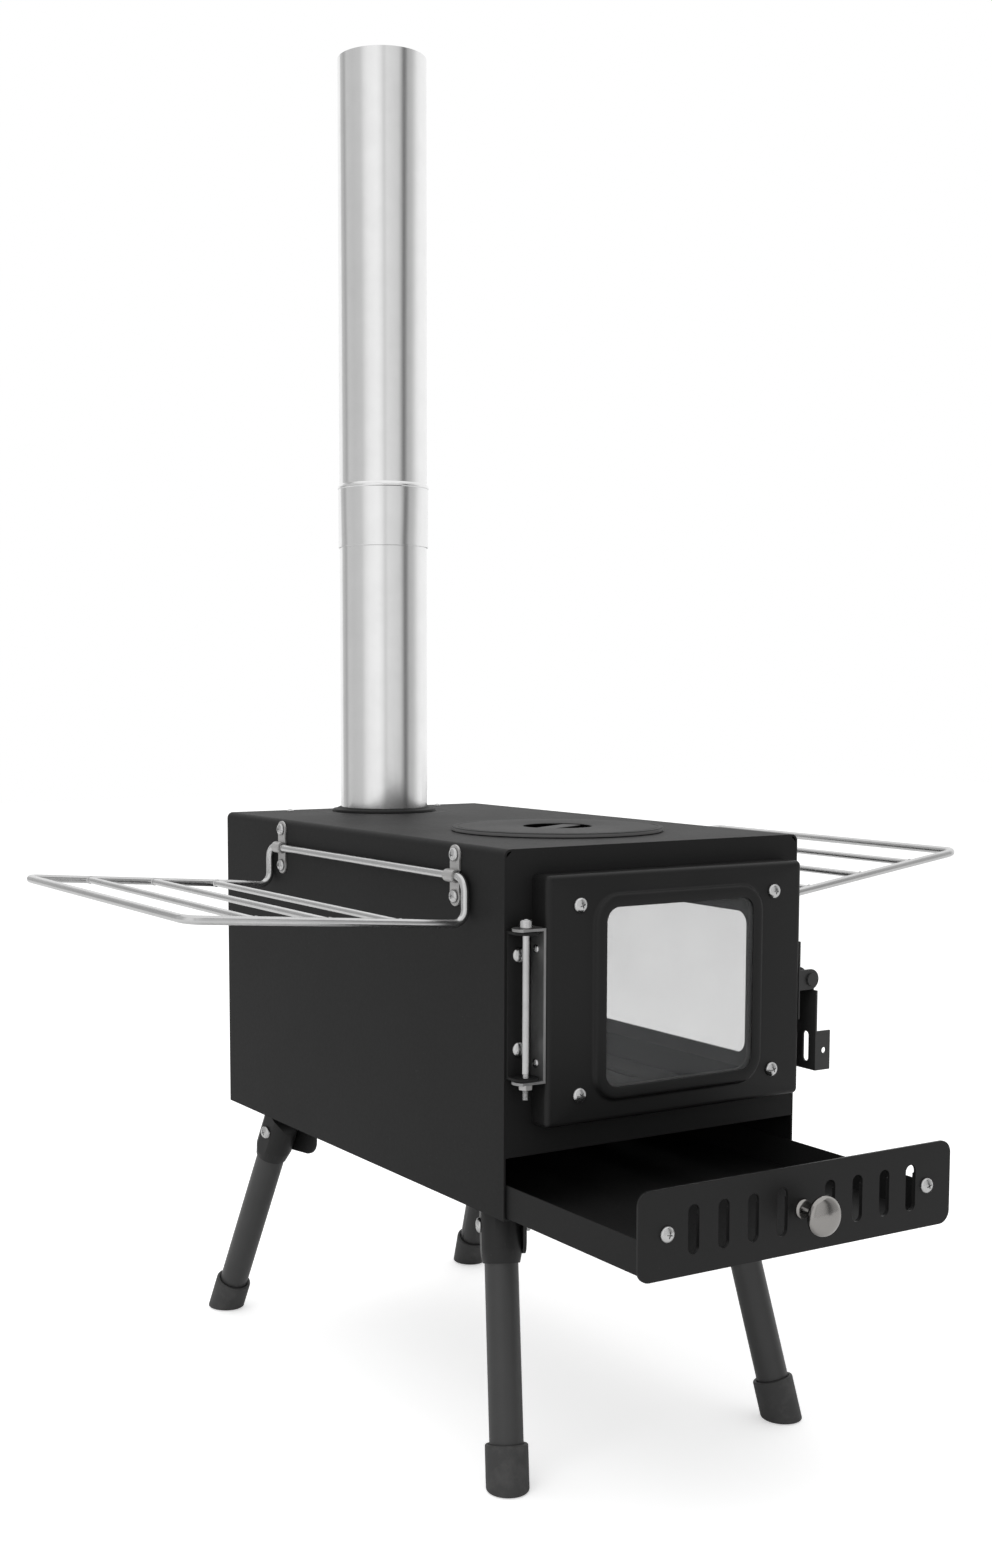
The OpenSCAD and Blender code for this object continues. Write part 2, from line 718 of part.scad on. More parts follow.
module hinge_bracket_door() {
    y0 = door_front_y + sheet_t;
    color("silver") difference() {
        union() {
            translate([door_left_x - bracket_t, y0, hinge_low_z])
                cube([bracket_t, -rest_gap - y0, hinge_h]);
            for (z = [hinge_low_z, hinge_top_z - bracket_t]) translate([hinge_x, hinge_y, z])
                intersection() {
                    ear(bracket_t, ear_r, hinge_out, false);
                    translate([-ear_r, y0 - hinge_y, -bracket_t])
                        cube([ear_r + hinge_out, -rest_gap - y0, 3 * bracket_t]);
                }
        }
        translate([hinge_x, hinge_y, base_z]) cylinder(h = body_h, r = hinge_d / 2 + pin_fit);
        hinge_door_screw_places() cylinder(h = 8 * sheet_t, r = screw_d / 2 * 0.75 + hole_fit,
            center = true);
    }
}

module hinge_screws_door() {
    s = 0.75;
    color("silver") hinge_door_screw_places() {
        scale(s) dome_screw((bracket_t + sheet_t + nut_t * s + rest_gap) / s, dome_d * s, dome_h * s);
        translate([0, 0, -bracket_t - sheet_t - rest_gap / 2 - nut_t * s]) nut(nut_af * s,
            nut_t * s, screw_d * s);
    }
}

module hinge_bracket_body() {
    z_low = hinge_low_z + bracket_t + rest_gap;
    z_top = hinge_top_z - bracket_t - rest_gap;
    half = hinge_out - bracket_t - 2 * rest_gap;
    color("#1f2022") difference() {
        union() {
            translate([hinge_x - half, -bracket_t, z_low]) cube([2 * half, bracket_t, z_top - z_low]);
            for (z = [z_low, z_top - bracket_t]) translate([hinge_x, hinge_y, z])
                ear(bracket_t, half, hinge_front, true);
        }
        translate([hinge_x, hinge_y, base_z]) cylinder(h = body_h, r = hinge_d / 2 + pin_fit);
        translate([hinge_x - 2 * half, 0, z_low - over]) cube([4 * half, 2 * half, hinge_h]);
        for (share = hinge_screw_shares) translate([hinge_x, 0, hinge_low_z + share * hinge_h]) to_front()
            cylinder(h = 6 * sheet_t, r = screw_d / 2 + hole_fit, center = true);
    }
}

module hinge_screws_body() {
    color("silver") for (share = hinge_screw_shares)
        translate([hinge_x, -bracket_t, hinge_low_z + share * hinge_h]) to_front() {
            dome_screw(bracket_t + sheet_t + nut_t + rest_gap);
            translate([0, 0, -bracket_t - sheet_t - nut_t - rest_gap / 2]) nut();
        }
}

module hinge_bolt() {
    color("silver") translate([hinge_x, hinge_y, hinge_low_z]) {
        translate([0, 0, -bolt_tail - nut_t]) cylinder(h = hinge_h + bolt_tail + nut_t + rest_gap,
            r = hinge_d / 2);
        translate([0, 0, hinge_h + rest_gap / 2]) cylinder(h = bolt_head_h, r = 0.875 * hinge_d);
    }
}

module hinge_nut() {
    color("silver") translate([hinge_x, hinge_y, hinge_low_z - rest_gap / 2 - nut_t]) nut();
}

// Latch, drawn round its pin's axis: +X away from the stove, +Y to the back

leaf_h = 3.8 * latch_ear_d;
ear_back_y = -rest_gap - 1.5 * latch_t;
knuckle_y0 = ear_front_y + latch_t + rest_gap;
knuckle_y1 = ear_back_y - latch_t - rest_gap;
arm_start = latch_ear_d / 2 + 2 * rest_gap;

module latch_axis(y, l) {
    translate([0, y, 0]) rotate([-90, 0, 0]) cylinder(h = l, r = latch_pin_d / 2 + pin_fit);
}

module latch_base() {
    leaf_x = door_right_x - pin_x;
    ear_r = latch_ear_d / 2;
    color("#1b1c1e") translate([pin_x, 0, pin_z]) difference() {
        union() {
            translate([leaf_x, ear_front_y, -leaf_h / 2]) cube([latch_t, ear_back_y - ear_front_y,
                leaf_h]);
            for (y = [ear_front_y, ear_back_y - latch_t]) translate([0, y, 0]) {
                rotate([-90, 0, 0]) cylinder(h = latch_t, r = ear_r);
                translate([leaf_x, 0, -ear_r]) cube([-leaf_x, latch_t, 2 * ear_r]);
            }
        }
        latch_axis(-2 * door_d, 4 * door_d);
    }
}

module latch_pin() {
    l = ear_back_y - ear_front_y + 2 * latch_t;
    color("#1b1c1e") translate([pin_x, ear_front_y - latch_t, pin_z]) rotate([-90, 0, 0]) {
        cylinder(h = l, r = latch_pin_d / 2);
        translate([0, 0, -0.3 * latch_t]) cylinder(h = latch_t, r = latch_pin_d / 2 + latch_t);
        translate([0, 0, l - 0.7 * latch_t]) cylinder(h = latch_t, r = latch_pin_d / 2 + latch_t);
    }
}

module latch_arm() {
    plate_x = knuckle_r - latch_t;
    l = latch_arm_l;
    tab_x = 9.5 * latch_t;
    tab_h = 0.43 * l;
    color("#1b1c1e") translate([pin_x, 0, pin_z]) difference() {
        union() {
            translate([0, knuckle_y0, 0]) rotate([-90, 0, 0])
                cylinder(h = knuckle_y1 - knuckle_y0, r = knuckle_r);
            translate([plate_x, knuckle_y0, -arm_start - over]) cube([latch_t,
                knuckle_y1 - knuckle_y0, arm_start + over]);
            translate([plate_x, arm_front_y, -l]) cube([latch_t, latch_arm_w, l - arm_start]);
            translate([plate_x, arm_front_y, -l]) cube([tab_x, latch_t, tab_h]);
        }
        latch_axis(-2 * door_d, 4 * door_d);
        translate([plate_x - latch_t, arm_front_y + 0.35 * latch_arm_w, -0.75 * l]) rotate([90, 0, 90])
            linear_extrude(4 * latch_t) slot2d(0.2 * latch_arm_w, 0.33 * l);
        translate([plate_x + 0.6 * tab_x, arm_front_y - latch_t, -l + tab_h / 2]) rotate([-90, 0, 0])
            cylinder(h = 4 * latch_t, r = 1.5 * latch_t);
    }
}

module latch_stud() {
    r = 0.4 * dome_d;
    cap_r = (pow(r, 2) + pow(stud_rise, 2)) / (2 * stud_rise);
    color("silver") translate([wall_x, stud_y, stud_z]) rotate([0, 90, 0]) intersection() {
        translate([0, 0, stud_rise - cap_r]) sphere(cap_r);
        cylinder(h = stud_rise, r = r);
    }
}

// Ash drawer

module air_slots(deep) {
    for (s = [-1, 1], i = [0 : air_count - 1])
        translate([air_shift + s * (air_first + i * air_pitch), 0, plate_mid_z]) rotate([90, 0, 0])
            linear_extrude(deep, center = true) slot2d(air_w, air_h);
}
module drawer_screw_places() {
    for (s = [-1, 1]) translate([s * plate_screw_x, plate_y, knob_z]) to_front() children();
}
knob_z = plate_mid_z;
tray_y = plate_y + plate_t;
tray_front_h = tray_h * 1.55;

module drawer_tray() {
    color("#3a3b3d") difference() {
        union() {
            translate([-tray_x, tray_y, tray_z]) cube([2 * tray_x, tray_l, tray_h]);
            translate([-tray_x, tray_y, tray_z]) cube([2 * tray_x, tray_t, tray_front_h]);
        }
        translate([-tray_x + tray_t, tray_y + tray_t, tray_z + tray_t])
            cube([2 * (tray_x - tray_t), tray_l - 2 * tray_t, 2 * tray_h]);
        translate([0, tray_y, 0]) air_slots(4 * tray_t);
        drawer_screw_places() cylinder(h = 8 * plate_t, r = screw_d / 2 + hole_fit, center = true);
        translate([0, tray_y, knob_z]) to_front() cylinder(h = 6 * tray_t,
            r = screw_d / 2 + hole_fit, center = true);
    }
}

module drawer_front() {
    color("#1f2022") difference() {
        translate([0, plate_y + plate_t, plate_mid_z]) to_front() linear_extrude(plate_t)
            rounded_rect(plate_w, plate_h, plate_r);
        translate([0, plate_y, 0]) air_slots(4 * plate_t);
        drawer_screw_places() cylinder(h = 6 * plate_t, r = screw_d / 2 + hole_fit, center = true);
        translate([0, plate_y, knob_z]) to_front() cylinder(h = 6 * plate_t,
            r = screw_d / 2 + hole_fit, center = true);
    }
}

module drawer_screws() {
    color("silver") drawer_screw_places() {
        dome_screw(plate_t + tray_t + nut_t + rest_gap);
        translate([0, 0, -plate_t - tray_t - nut_t - rest_gap / 2]) nut();
    }
}

module drawer_knob() {
    kr = knob_d / 2;
    foot = kr / 2;
    neck = 0.33 * kr;
    color("#b8b6b0") translate([0, plate_y, knob_z]) to_front() difference() {
        rotate_extrude($fn = 64) polygon([
            [0, 0], [foot, 0], [foot, 0.05 * knob_l], [0.8 * foot, 0.13 * knob_l], [neck * 1.1,
                0.28 * knob_l],
            [neck, 0.42 * knob_l], [1.25 * neck, 0.53 * knob_l], [0.62 * kr, 0.6 * knob_l],
            [0.9 * kr, 0.66 * knob_l], [kr, 0.74 * knob_l], [0.98 * kr, 0.81 * knob_l],
            [0.82 * kr, 0.89 * knob_l], [0.5 * kr, 0.96 * knob_l], [0.2 * kr, knob_l], [0, knob_l]
        ]);
        translate([0, 0, -knob_l]) cylinder(h = 1.5 * knob_l, r = screw_d / 2 + pin_fit / 2);
    }
}

module knob_screw() {
    color("silver") translate([0, tray_y + tray_t, knob_z]) rotate([-90, 0, 0])
        dome_screw(tray_t + plate_t + 0.45 * knob_l);
}

// Side racks, drawn for the left side round the pivot's axis

function way(a, b) = (b - a) / norm(b - a);

// A straight rod from a to b that ends a little way inside its bends, which are a hair thicker
module rod_between(a, b, ta, tb) {
    v = way(a, b);
    lap = 0.1 * rod_r;
    translate(a + (ta - lap) * v) rotate([0, acos(v[2]), atan2(v[1], v[0])])
        cylinder(h = norm(b - a) - ta - tb + 2 * lap, r = rod_r);
}

function turn_at(p, q, s) = acos(way(p, q) * way(q, s));
function tangent_at(p, q, s) = rack_bend_r * tan(turn_at(p, q, s) / 2);

// The round bend of the rod at q, between the straights from p and to s
module rod_bend(p, q, s) {
    a = way(p, q);
    b = way(q, s);
    turn = turn_at(p, q, s);
    n = (b - a * cos(turn)) / sin(turn);
    c = q - a * tangent_at(p, q, s) + n * rack_bend_r;
    z = cross(-n, a);
    multmatrix([[-n[0], a[0], z[0], c[0]], [-n[1], a[1], z[1], c[1]],
                [-n[2], a[2], z[2], c[2]], [0, 0, 0, 1]])
        rotate_extrude(angle = turn) translate([rack_bend_r, 0]) circle(rod_r * 1.01);
}

module rack(tilt) {
    y0 = rack_front;
    y1 = rack_back;
    low = -rack_step;
    high = -rack_step + rack_reach * tan(tilt);
    path = [[0, y0, 0], [0, y0, low], [-rack_reach, y0, high],
            [-rack_reach, y1, high], [0, y1, low], [0, y1, 0]];
    for (i = [0 : 5]) {
        before = path[(i + 5) % 6];
        here = path[i];
        next = path[(i + 1) % 6];
        after = path[(i + 2) % 6];
        rod_bend(before, here, next);
        rod_between(here, next, tangent_at(before, here, next), tangent_at(here, next, after));
    }
    for (share = cross_shares) {
        x = -share * rack_reach;
        z = low + share * rack_reach * tan(tilt);
        translate([x, y0, z]) rotate([-90, 0, 0]) cylinder(h = y1 - y0, r = cross_d / 2);
    }
}

module rack_left() {
    color("#d2d3d5") translate([-pivot_x, 0, rack_z]) rack(tilt_left);
}
module rack_right() {
    color("#d2d3d5") translate([pivot_x, 0, rack_z]) mirror([1, 0, 0])
        rotate([0, tilt_right - tilt_left, 0]) rack(tilt_left);
}

// One clamp for the right wall, its rod's axis at the origin; the wall is at x = wall_x - pivot_x
module rack_clamp() {
    back = wall_x - pivot_x;
    difference() {
        union() {
            rotate([90, 0, 0]) cylinder(h = strap_w - 1.2 * strap_t, r = saddle_r + strap_t,
                center = true);
            translate([back, 0, 0]) rotate([0, 90, 0]) linear_extrude(strap_t) {
                square([ear_gap, strap_w - 1.2 * strap_t], center = true);
                for (s = [-1, 1]) translate([s * ear_gap / 2, 0]) circle(strap_w / 2);
            }
        }
        rotate([90, 0, 0]) cylinder(h = 4 * strap_w, r = saddle_r, center = true);
        translate([back - 2 * strap_w, -strap_w, -ear_gap]) cube([2 * strap_w, 2 * strap_w, 2 * ear_gap]);
        translate([back, -strap_w, -saddle_r]) cube([-back, 2 * strap_w, 2 * saddle_r]);
        for (s = [-1, 1]) translate([0, 0, s * ear_gap / 2]) rotate([0, 90, 0])
            cylinder(h = 8 * strap_t, r = screw_d / 2 + hole_fit, center = true);
    }
}

module clamp_places(sx) {
    for (y = [rack_front + clamp_in, rack_back - clamp_in]) mirror_if(sx < 0, [1, 0, 0])
        translate([pivot_x, y, rack_z]) children();
}
module clamp_screw() {
    translate([wall_x - pivot_x + strap_t, 0, 0]) rotate([0, 90, 0]) {
        dome_screw(strap_t + sheet_t + nut_t + 2 * rest_gap, dome_d * 0.9);
        translate([0, 0, -strap_t - sheet_t - nut_t - rest_gap]) rotate([0, 0, 30]) nut();
    }
}

module rack_clamps_left() { color("#c9cacc") clamp_places(-1) rack_clamp(); }
module rack_clamps_right() { color("#c9cacc") clamp_places(1) rack_clamp(); }
module rack_screws_left() {
    color("silver") clamp_places(-1) for (s = [-1, 1]) translate([0, 0, s * ear_gap / 2]) clamp_screw();
}
module rack_screws_right() {
    color("silver") clamp_places(1) for (s = [-1, 1]) translate([0, 0, s * ear_gap / 2]) clamp_screw();
}

// Legs. A leg's own frame has its pivot at the origin, +X along the pivot's bolt towards the
// stove's middle, -Z down the leg and +Y to the side it leans to

module leg_place(sx, sy) {
    mirror_if(sx > 0, [1, 0, 0])
        translate([sy < 0 ? -leg_front_x : -leg_back_x, sy < 0 ? leg_front_y : leg_back_y, leg_z])
            mirror_if(sy < 0, [0, 1, 0]) rotate([0, 0, sy < 0 ? toe_front : toe_back]) children();
}
module leg_lean(sx, sy) {
    leg_place(sx, sy) rotate([sy < 0 ? lean_front : lean_back, 0, 0]) children();
}
module each_bracket() {
    for (sx = [-1, 1], sy = [-1, 1]) leg_place(sx, sy) children();
}

module leg_bracket() {
    drop = bracket_drop - pivot_drop;
    translate([bolt_half, 0, 0]) difference() {
        rotate([90, 0, 90]) linear_extrude(cheek_t) difference() {
            union() {
                translate([-bracket_in, -drop + cheek_r]) square([bracket_in + bracket_out,
                    bracket_drop - cheek_r]);
                translate([-bracket_in + cheek_r, -drop])
                    square([bracket_in + bracket_out - 2 * cheek_r, bracket_drop]);
                for (y = [-bracket_in + cheek_r, bracket_out - cheek_r]) translate([y,
                    -drop + cheek_r]) circle(cheek_r);
            }
            circle(screw_d / 2 + hole_fit);
        }
    }
    translate([bolt_half, -bracket_in, pivot_drop - cheek_t]) cube([cheek_t * 7,
        bracket_in + bracket_out, cheek_t]);
}
module leg_brackets() { color("#1b1c1e") each_bracket() leg_bracket(); }

module leg_bolts() {
    color("silver") each_bracket() {
        grip = 2 * socket_half + rest_gap + cheek_t;
        translate([-socket_half - rest_gap / 2, 0, 0]) rotate([0, -90, 0])
            dome_screw(grip + nut_t + rest_gap * 1.5, dome_d);
        translate([bolt_half + cheek_t + rest_gap / 2, 0, 0]) rotate([0, 90, 0]) nut();
    }
}

module leg_socket() {
    r = socket_d / 2;
    taper = 0.62 * socket_l;
    difference() {
        intersection() {
            union() {
                translate([0, 0, -taper]) cylinder(h = taper + r, r = r);
                translate([0, 0, -socket_l]) cylinder(h = socket_l - taper,
                    r1 = leg_d / 2 + tube_t, r2 = r);
            }
            union() {
                rotate([0, 90, 0]) cylinder(h = 4 * r, r = r, center = true);
                translate([-2 * r, -2 * r, -4 * r]) cube([4 * r, 4 * r, 4 * r]);
            }
            translate([-socket_half, -2 * r, -4 * r]) cube([2 * socket_half, 4 * r, 8 * r]);
        }
        rotate([0, 90, 0]) cylinder(h = 4 * r, r = screw_d / 2 + pin_fit, center = true);
        translate([0, 0, -2 * socket_l]) cylinder(h = 2 * socket_l - leg_d / 2, r = leg_d / 2 + tube_fit);
    }
}

function leg_long(lean) = leg_z / cos(lean);

module leg_tube(lean) {
    top = leg_d / 2 + rest_gap;
    low = leg_long(lean) - foot_sole - foot_d / 2 * tan(lean);
    translate([0, 0, -low]) difference() {
        cylinder(h = low - top, r = leg_d / 2);
        translate([0, 0, -over]) cylinder(h = low - top + 2 * over, r = leg_d / 2 - tube_t);
    }
}

module leg_foot(lean) {
    l = leg_long(lean);
    sole_top = l - foot_sole - foot_d / 2 * tan(lean) + rest_gap;
    rise = foot_l - foot_d / 2 * tan(lean) / 2;
    difference() {
        translate([0, 0, -l - foot_d]) cylinder(h = foot_d + rise, r = foot_d / 2);
        translate([0, 0, -l]) rotate([-lean, 0, 0]) translate([-2 * foot_d, -2 * foot_d, -4 * foot_d])
            cube([4 * foot_d, 4 * foot_d, 4 * foot_d]);
        translate([0, 0, -sole_top]) cylinder(h = 2 * foot_l, r = leg_d / 2 + tube_fit);
    }
}

module socket_node(sx, sy) { color("#1b1c1e") leg_lean(sx, sy) leg_socket(); }
module tube_node(sx, sy) { color("#333437") leg_lean(sx, sy) leg_tube(sy < 0 ? lean_front : lean_back); }
module foot_node(sx, sy) { color("#2a2a2b") leg_lean(sx, sy) leg_foot(sy < 0 ? lean_front : lean_back); }

// Everything is drawn with the firebox's front at y = 0, then moved so that the origin lies
// under the middle of the whole stove
module put() { translate([0, -origin_y, 0]) children(); }

put() shell();
put() front_panel();
put() back_panel();
put() base_plate();
put() grate_ledges();
put() fire_grate();
put() side_glass();
put() side_glass_frame();
put() side_glass_screws();
put() flue_collar();
put() top_screws();
put() rack_clamps_left();
put() rack_clamps_right();
put() rack_screws_left();
put() rack_screws_right();
put() hinge_bracket_body();
put() hinge_screws_body();
put() hinge_bolt();
put() hinge_nut();
put() latch_stud();
put() leg_brackets();
put() leg_bolts();
put() door_pan();
put() hinge_bracket_door();
put() hinge_screws_door();
put() door_glass();
put() glass_frame();
put() door_screws();
put() latch_base();
put() latch_pin();
put() latch_arm();
put() drawer_tray();
put() drawer_front();
put() drawer_screws();
put() drawer_knob();
put() knob_screw();
put() cook_lid();
put() lid_bar();
put() pipe_lower();
put() pipe_upper();
put() rack_left();
put() rack_right();
put() socket_node(-1, -1);  // socket_front_left
put() socket_node(1, -1);  // socket_front_right
put() socket_node(-1, 1);  // socket_back_left
put() socket_node(1, 1);  // socket_back_right
put() tube_node(-1, -1);  // tube_front_left
put() tube_node(1, -1);  // tube_front_right
put() tube_node(-1, 1);  // tube_back_left
put() tube_node(1, 1);  // tube_back_right
put() foot_node(-1, -1);  // foot_front_left
put() foot_node(1, -1);  // foot_front_right
put() foot_node(-1, 1);  // foot_back_left
put() foot_node(1, 1);  // foot_back_right
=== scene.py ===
# %% [markdown]
# # A tent wood stove
# This lesson dresses a small camping stove: a folded black steel firebox with a glazed door, a bright
# flue pipe, two rod racks, an ash drawer and four folding legs. The solids come packed from the CAD
# model and stay where they are. What is made here sits on them and takes over their looks.

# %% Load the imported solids
import bpy
import json
import math
from mathutils import Matrix, Vector

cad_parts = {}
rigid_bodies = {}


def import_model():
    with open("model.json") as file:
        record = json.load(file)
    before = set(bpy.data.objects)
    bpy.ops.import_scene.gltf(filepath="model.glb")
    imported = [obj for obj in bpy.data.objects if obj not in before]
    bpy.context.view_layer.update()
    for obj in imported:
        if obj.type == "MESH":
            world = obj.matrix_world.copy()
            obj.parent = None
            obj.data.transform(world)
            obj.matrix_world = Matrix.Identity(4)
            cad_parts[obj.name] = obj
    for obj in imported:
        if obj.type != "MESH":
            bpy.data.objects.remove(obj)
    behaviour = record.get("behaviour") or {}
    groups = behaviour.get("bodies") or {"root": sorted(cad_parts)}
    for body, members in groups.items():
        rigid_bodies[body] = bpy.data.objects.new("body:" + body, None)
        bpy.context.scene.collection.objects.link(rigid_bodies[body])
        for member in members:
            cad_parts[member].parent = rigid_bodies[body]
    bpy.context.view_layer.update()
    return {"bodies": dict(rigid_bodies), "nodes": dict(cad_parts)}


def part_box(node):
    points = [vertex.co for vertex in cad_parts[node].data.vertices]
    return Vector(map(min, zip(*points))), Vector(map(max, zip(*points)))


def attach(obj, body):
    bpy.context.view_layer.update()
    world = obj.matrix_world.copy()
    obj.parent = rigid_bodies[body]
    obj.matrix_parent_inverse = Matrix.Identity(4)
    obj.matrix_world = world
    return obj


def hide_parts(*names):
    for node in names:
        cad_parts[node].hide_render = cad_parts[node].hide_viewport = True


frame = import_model()
MM = 0.001


# %% [markdown]
# Every solid already knows its place, so a few landmarks are measured off them once. Most pieces are
# placed from these or from their own solid. Sizes that a box can't give are written in millimetres.

# %% Landmarks
def low(node):
    return Vector(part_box(node)[0])


def high(node):
    return Vector(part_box(node)[1])


def middle(node):
    return (low(node) + high(node)) / 2


FRONT_Y = low("front_panel").y
TOP_Z = high("shell").z
SIDE_X = high("shell").x
FLUE = Vector((middle("pipe_upper").x, middle("pipe_upper").y))
LID = Vector((middle("cook_lid").x, middle("cook_lid").y))
print("front", round(FRONT_Y, 4), "top", round(TOP_Z, 4), "flue", FLUE[:], "lid", LID[:])

# %% [markdown]
# The camera stands a little left of the stove and just above it, looking five degrees down. Its place
# and lens were worked out from the stove's own straight edges. The small shift keeps the upright
# edges of the stove where the photograph has them.

# %% Camera
PHOTO_W, PHOTO_H = 992, 1548
FOCAL, VIEW_X, VIEW_Y = 1867.4, 445.2, 862.5
LOOK_DOWN, LOOK_ASIDE = 5.322, 31.187
EYE_ASIDE, EYE_BEFORE, EYE_ABOVE = 0.53568, 0.82437, 0.0847
camera = bpy.data.objects.new("camera", bpy.data.cameras.new("camera"))
bpy.context.scene.collection.objects.link(camera)
camera.data.sensor_fit = "VERTICAL"
camera.data.sensor_height = 36
camera.data.lens = 36 * FOCAL / PHOTO_H
camera.data.shift_x = (PHOTO_W / 2 - VIEW_X) / PHOTO_H
camera.data.shift_y = (VIEW_Y - PHOTO_H / 2) / PHOTO_H
camera.location = (-SIDE_X - EYE_ASIDE, FRONT_Y - EYE_BEFORE, TOP_Z + EYE_ABOVE)
camera.rotation_euler = (math.radians(90 - LOOK_DOWN), 0, math.radians(-LOOK_ASIDE))
camera.data.clip_start = 0.05
bpy.context.scene.camera = camera
bpy.context.scene.view_settings.view_transform = "Standard"
print("camera", [round(c, 3) for c in camera.location], "lens", round(camera.data.lens, 2))


# %% [markdown]
# Tools for the bench. Each operator works on whatever is selected, so the first tool always clears the
# selection. `pick` chooses corners of the mesh in code, as a hand would with a box select, and
# `settle` leaves a finished piece at the origin, unturned and unscaled, with its place in its mesh.

# %% Bench tools
def deselect():
    if bpy.context.object and bpy.context.object.mode != "OBJECT":
        bpy.ops.object.mode_set(mode="OBJECT")
    bpy.ops.object.select_all(action="DESELECT")


def hold(*pieces):
    """Select these pieces only. The first one is active."""
    deselect()
    for piece in pieces:
        piece.select_set(True)
    bpy.context.view_layer.objects.active = pieces[0]


def edit(piece):
    hold(piece)
    bpy.ops.object.mode_set(mode="EDIT")
    bpy.ops.mesh.select_mode(type="VERT")
    bpy.ops.mesh.select_all(action="DESELECT")


def pick(piece, test):
    """In edit mode, select the vertices that pass the test."""
    bpy.ops.object.mode_set(mode="OBJECT")
    for vertex in piece.data.vertices:
        vertex.select = bool(test(vertex.co))
    bpy.ops.object.mode_set(mode="EDIT")


def one_point(place):
    """A new mesh of a single vertex at a place, in edit mode, to draw a line from."""
    deselect()
    bpy.ops.mesh.primitive_plane_add(size=MM, location=(0, 0, 0))
    piece = bpy.context.object
    edit(piece)
    bpy.ops.mesh.select_all(action="SELECT")
    bpy.ops.mesh.merge(type="CENTER")
    bpy.ops.transform.translate(value=place)
    return piece


def extend(step):
    """Extrude what is selected by a step."""
    bpy.ops.mesh.extrude_region_move(TRANSFORM_OT_translate={"value": step})


def settle(piece, name):
    hold(piece)
    bpy.ops.object.transform_apply(location=True, rotation=True, scale=True)
    piece.name = name
    piece.data.name = name
    return piece


def modify(piece, kind, **values):
    """Add one modifier, set it, and apply it."""
    hold(piece)
    modifier = piece.modifiers.new(kind.lower(), kind)
    for key, value in values.items():
        setattr(modifier, key, value)
    bpy.ops.object.modifier_apply(modifier=modifier.name)


def carve(piece, tool, operation):
    """Apply a Boolean with a tool, and throw the tool away."""
    modify(piece, "BOOLEAN", object=tool, operation=operation)
    bpy.data.objects.remove(tool)


def shade(piece, degrees):
    """Shade smooth, except over edges that turn more than this."""
    hold(piece)
    bpy.ops.object.shade_smooth_by_angle(angle=math.radians(degrees))


def tidy_skin(piece, smooth=35):
    """Merge doubles, point the faces outwards and smooth the gentle edges."""
    edit(piece)
    bpy.ops.mesh.select_all(action="SELECT")
    bpy.ops.mesh.remove_doubles(threshold=0.01 * MM)
    bpy.ops.mesh.normals_make_consistent(inside=False)
    shade(piece, smooth)
    return piece


def join(name, pieces):
    hold(*pieces)
    if len(pieces) > 1:
        bpy.ops.object.join()
    return settle(pieces[0], name)


print("bench ready")


# %% [markdown]
# Bent sheet is never sharp. Where a solid has the right shape and only lacks its small edge radius, a
# copy of it is merged, its flat faces are joined again, and a Bevel modifier rounds what is left of
# the hard edges. This is the quickest honest way to a folded or pressed edge that catches the light.
# A Weighted Normal modifier then keeps the large faces flat in the light, up to their rounded edges.

# %% Rounded copies of solids
SAME_POINT = 0.002 * MM
SAME_PLANE = math.radians(0.6)
HARD_EDGE = math.radians(28)


def softened(node, edge, name, rings=2, smooth=32):
    """A copy of a node's solid with merged flat faces and rounded edges, as a piece of its own."""
    deselect()
    source = frame["nodes"][node]
    piece = bpy.data.objects.new(name, source.data.copy())
    bpy.context.scene.collection.objects.link(piece)
    edit(piece)
    bpy.ops.mesh.select_all(action="SELECT")
    bpy.ops.mesh.remove_doubles(threshold=SAME_POINT)
    bpy.ops.mesh.dissolve_limited(angle_limit=SAME_PLANE)
    bpy.ops.object.mode_set(mode="OBJECT")
    if edge:
        modify(piece, "BEVEL", width=edge, segments=rings, limit_method="ANGLE",
               angle_limit=HARD_EDGE, use_clamp_overlap=True)
    shade(piece, smooth)
    if edge:
        modify(piece, "WEIGHTED_NORMAL", mode="FACE_AREA", weight=100, keep_sharp=True)
    return piece


def islands(node):
    """The points of each loose solid of a node, in a steady order."""
    mesh = frame["nodes"][node].data
    parent = {}

    def root(key):
        while parent.setdefault(key, key) != key:
            parent[key] = parent[parent[key]]
            key = parent[key]
        return key

    keys = [tuple(round(c * 1e6) for c in v.co) for v in mesh.vertices]
    for face in mesh.polygons:
        first = root(keys[face.vertices[0]])
        for i in face.vertices[1:]:
            parent[root(keys[i])] = first
    groups = {}
    for key, v in zip(keys, mesh.vertices):
        groups.setdefault(root(key), []).append(v.co.copy())
    return sorted(groups.values(), key=lambda pts: tuple(round(c, 4) for c in pts[0]))


print("door screws and nuts:", len(islands("door_screws")))


# %% [markdown]
# Round pieces are turned, as on a lathe. A line of points is drawn by adding one point and extruding
# it along the outline, and the spin operator sweeps that line once round the axis.

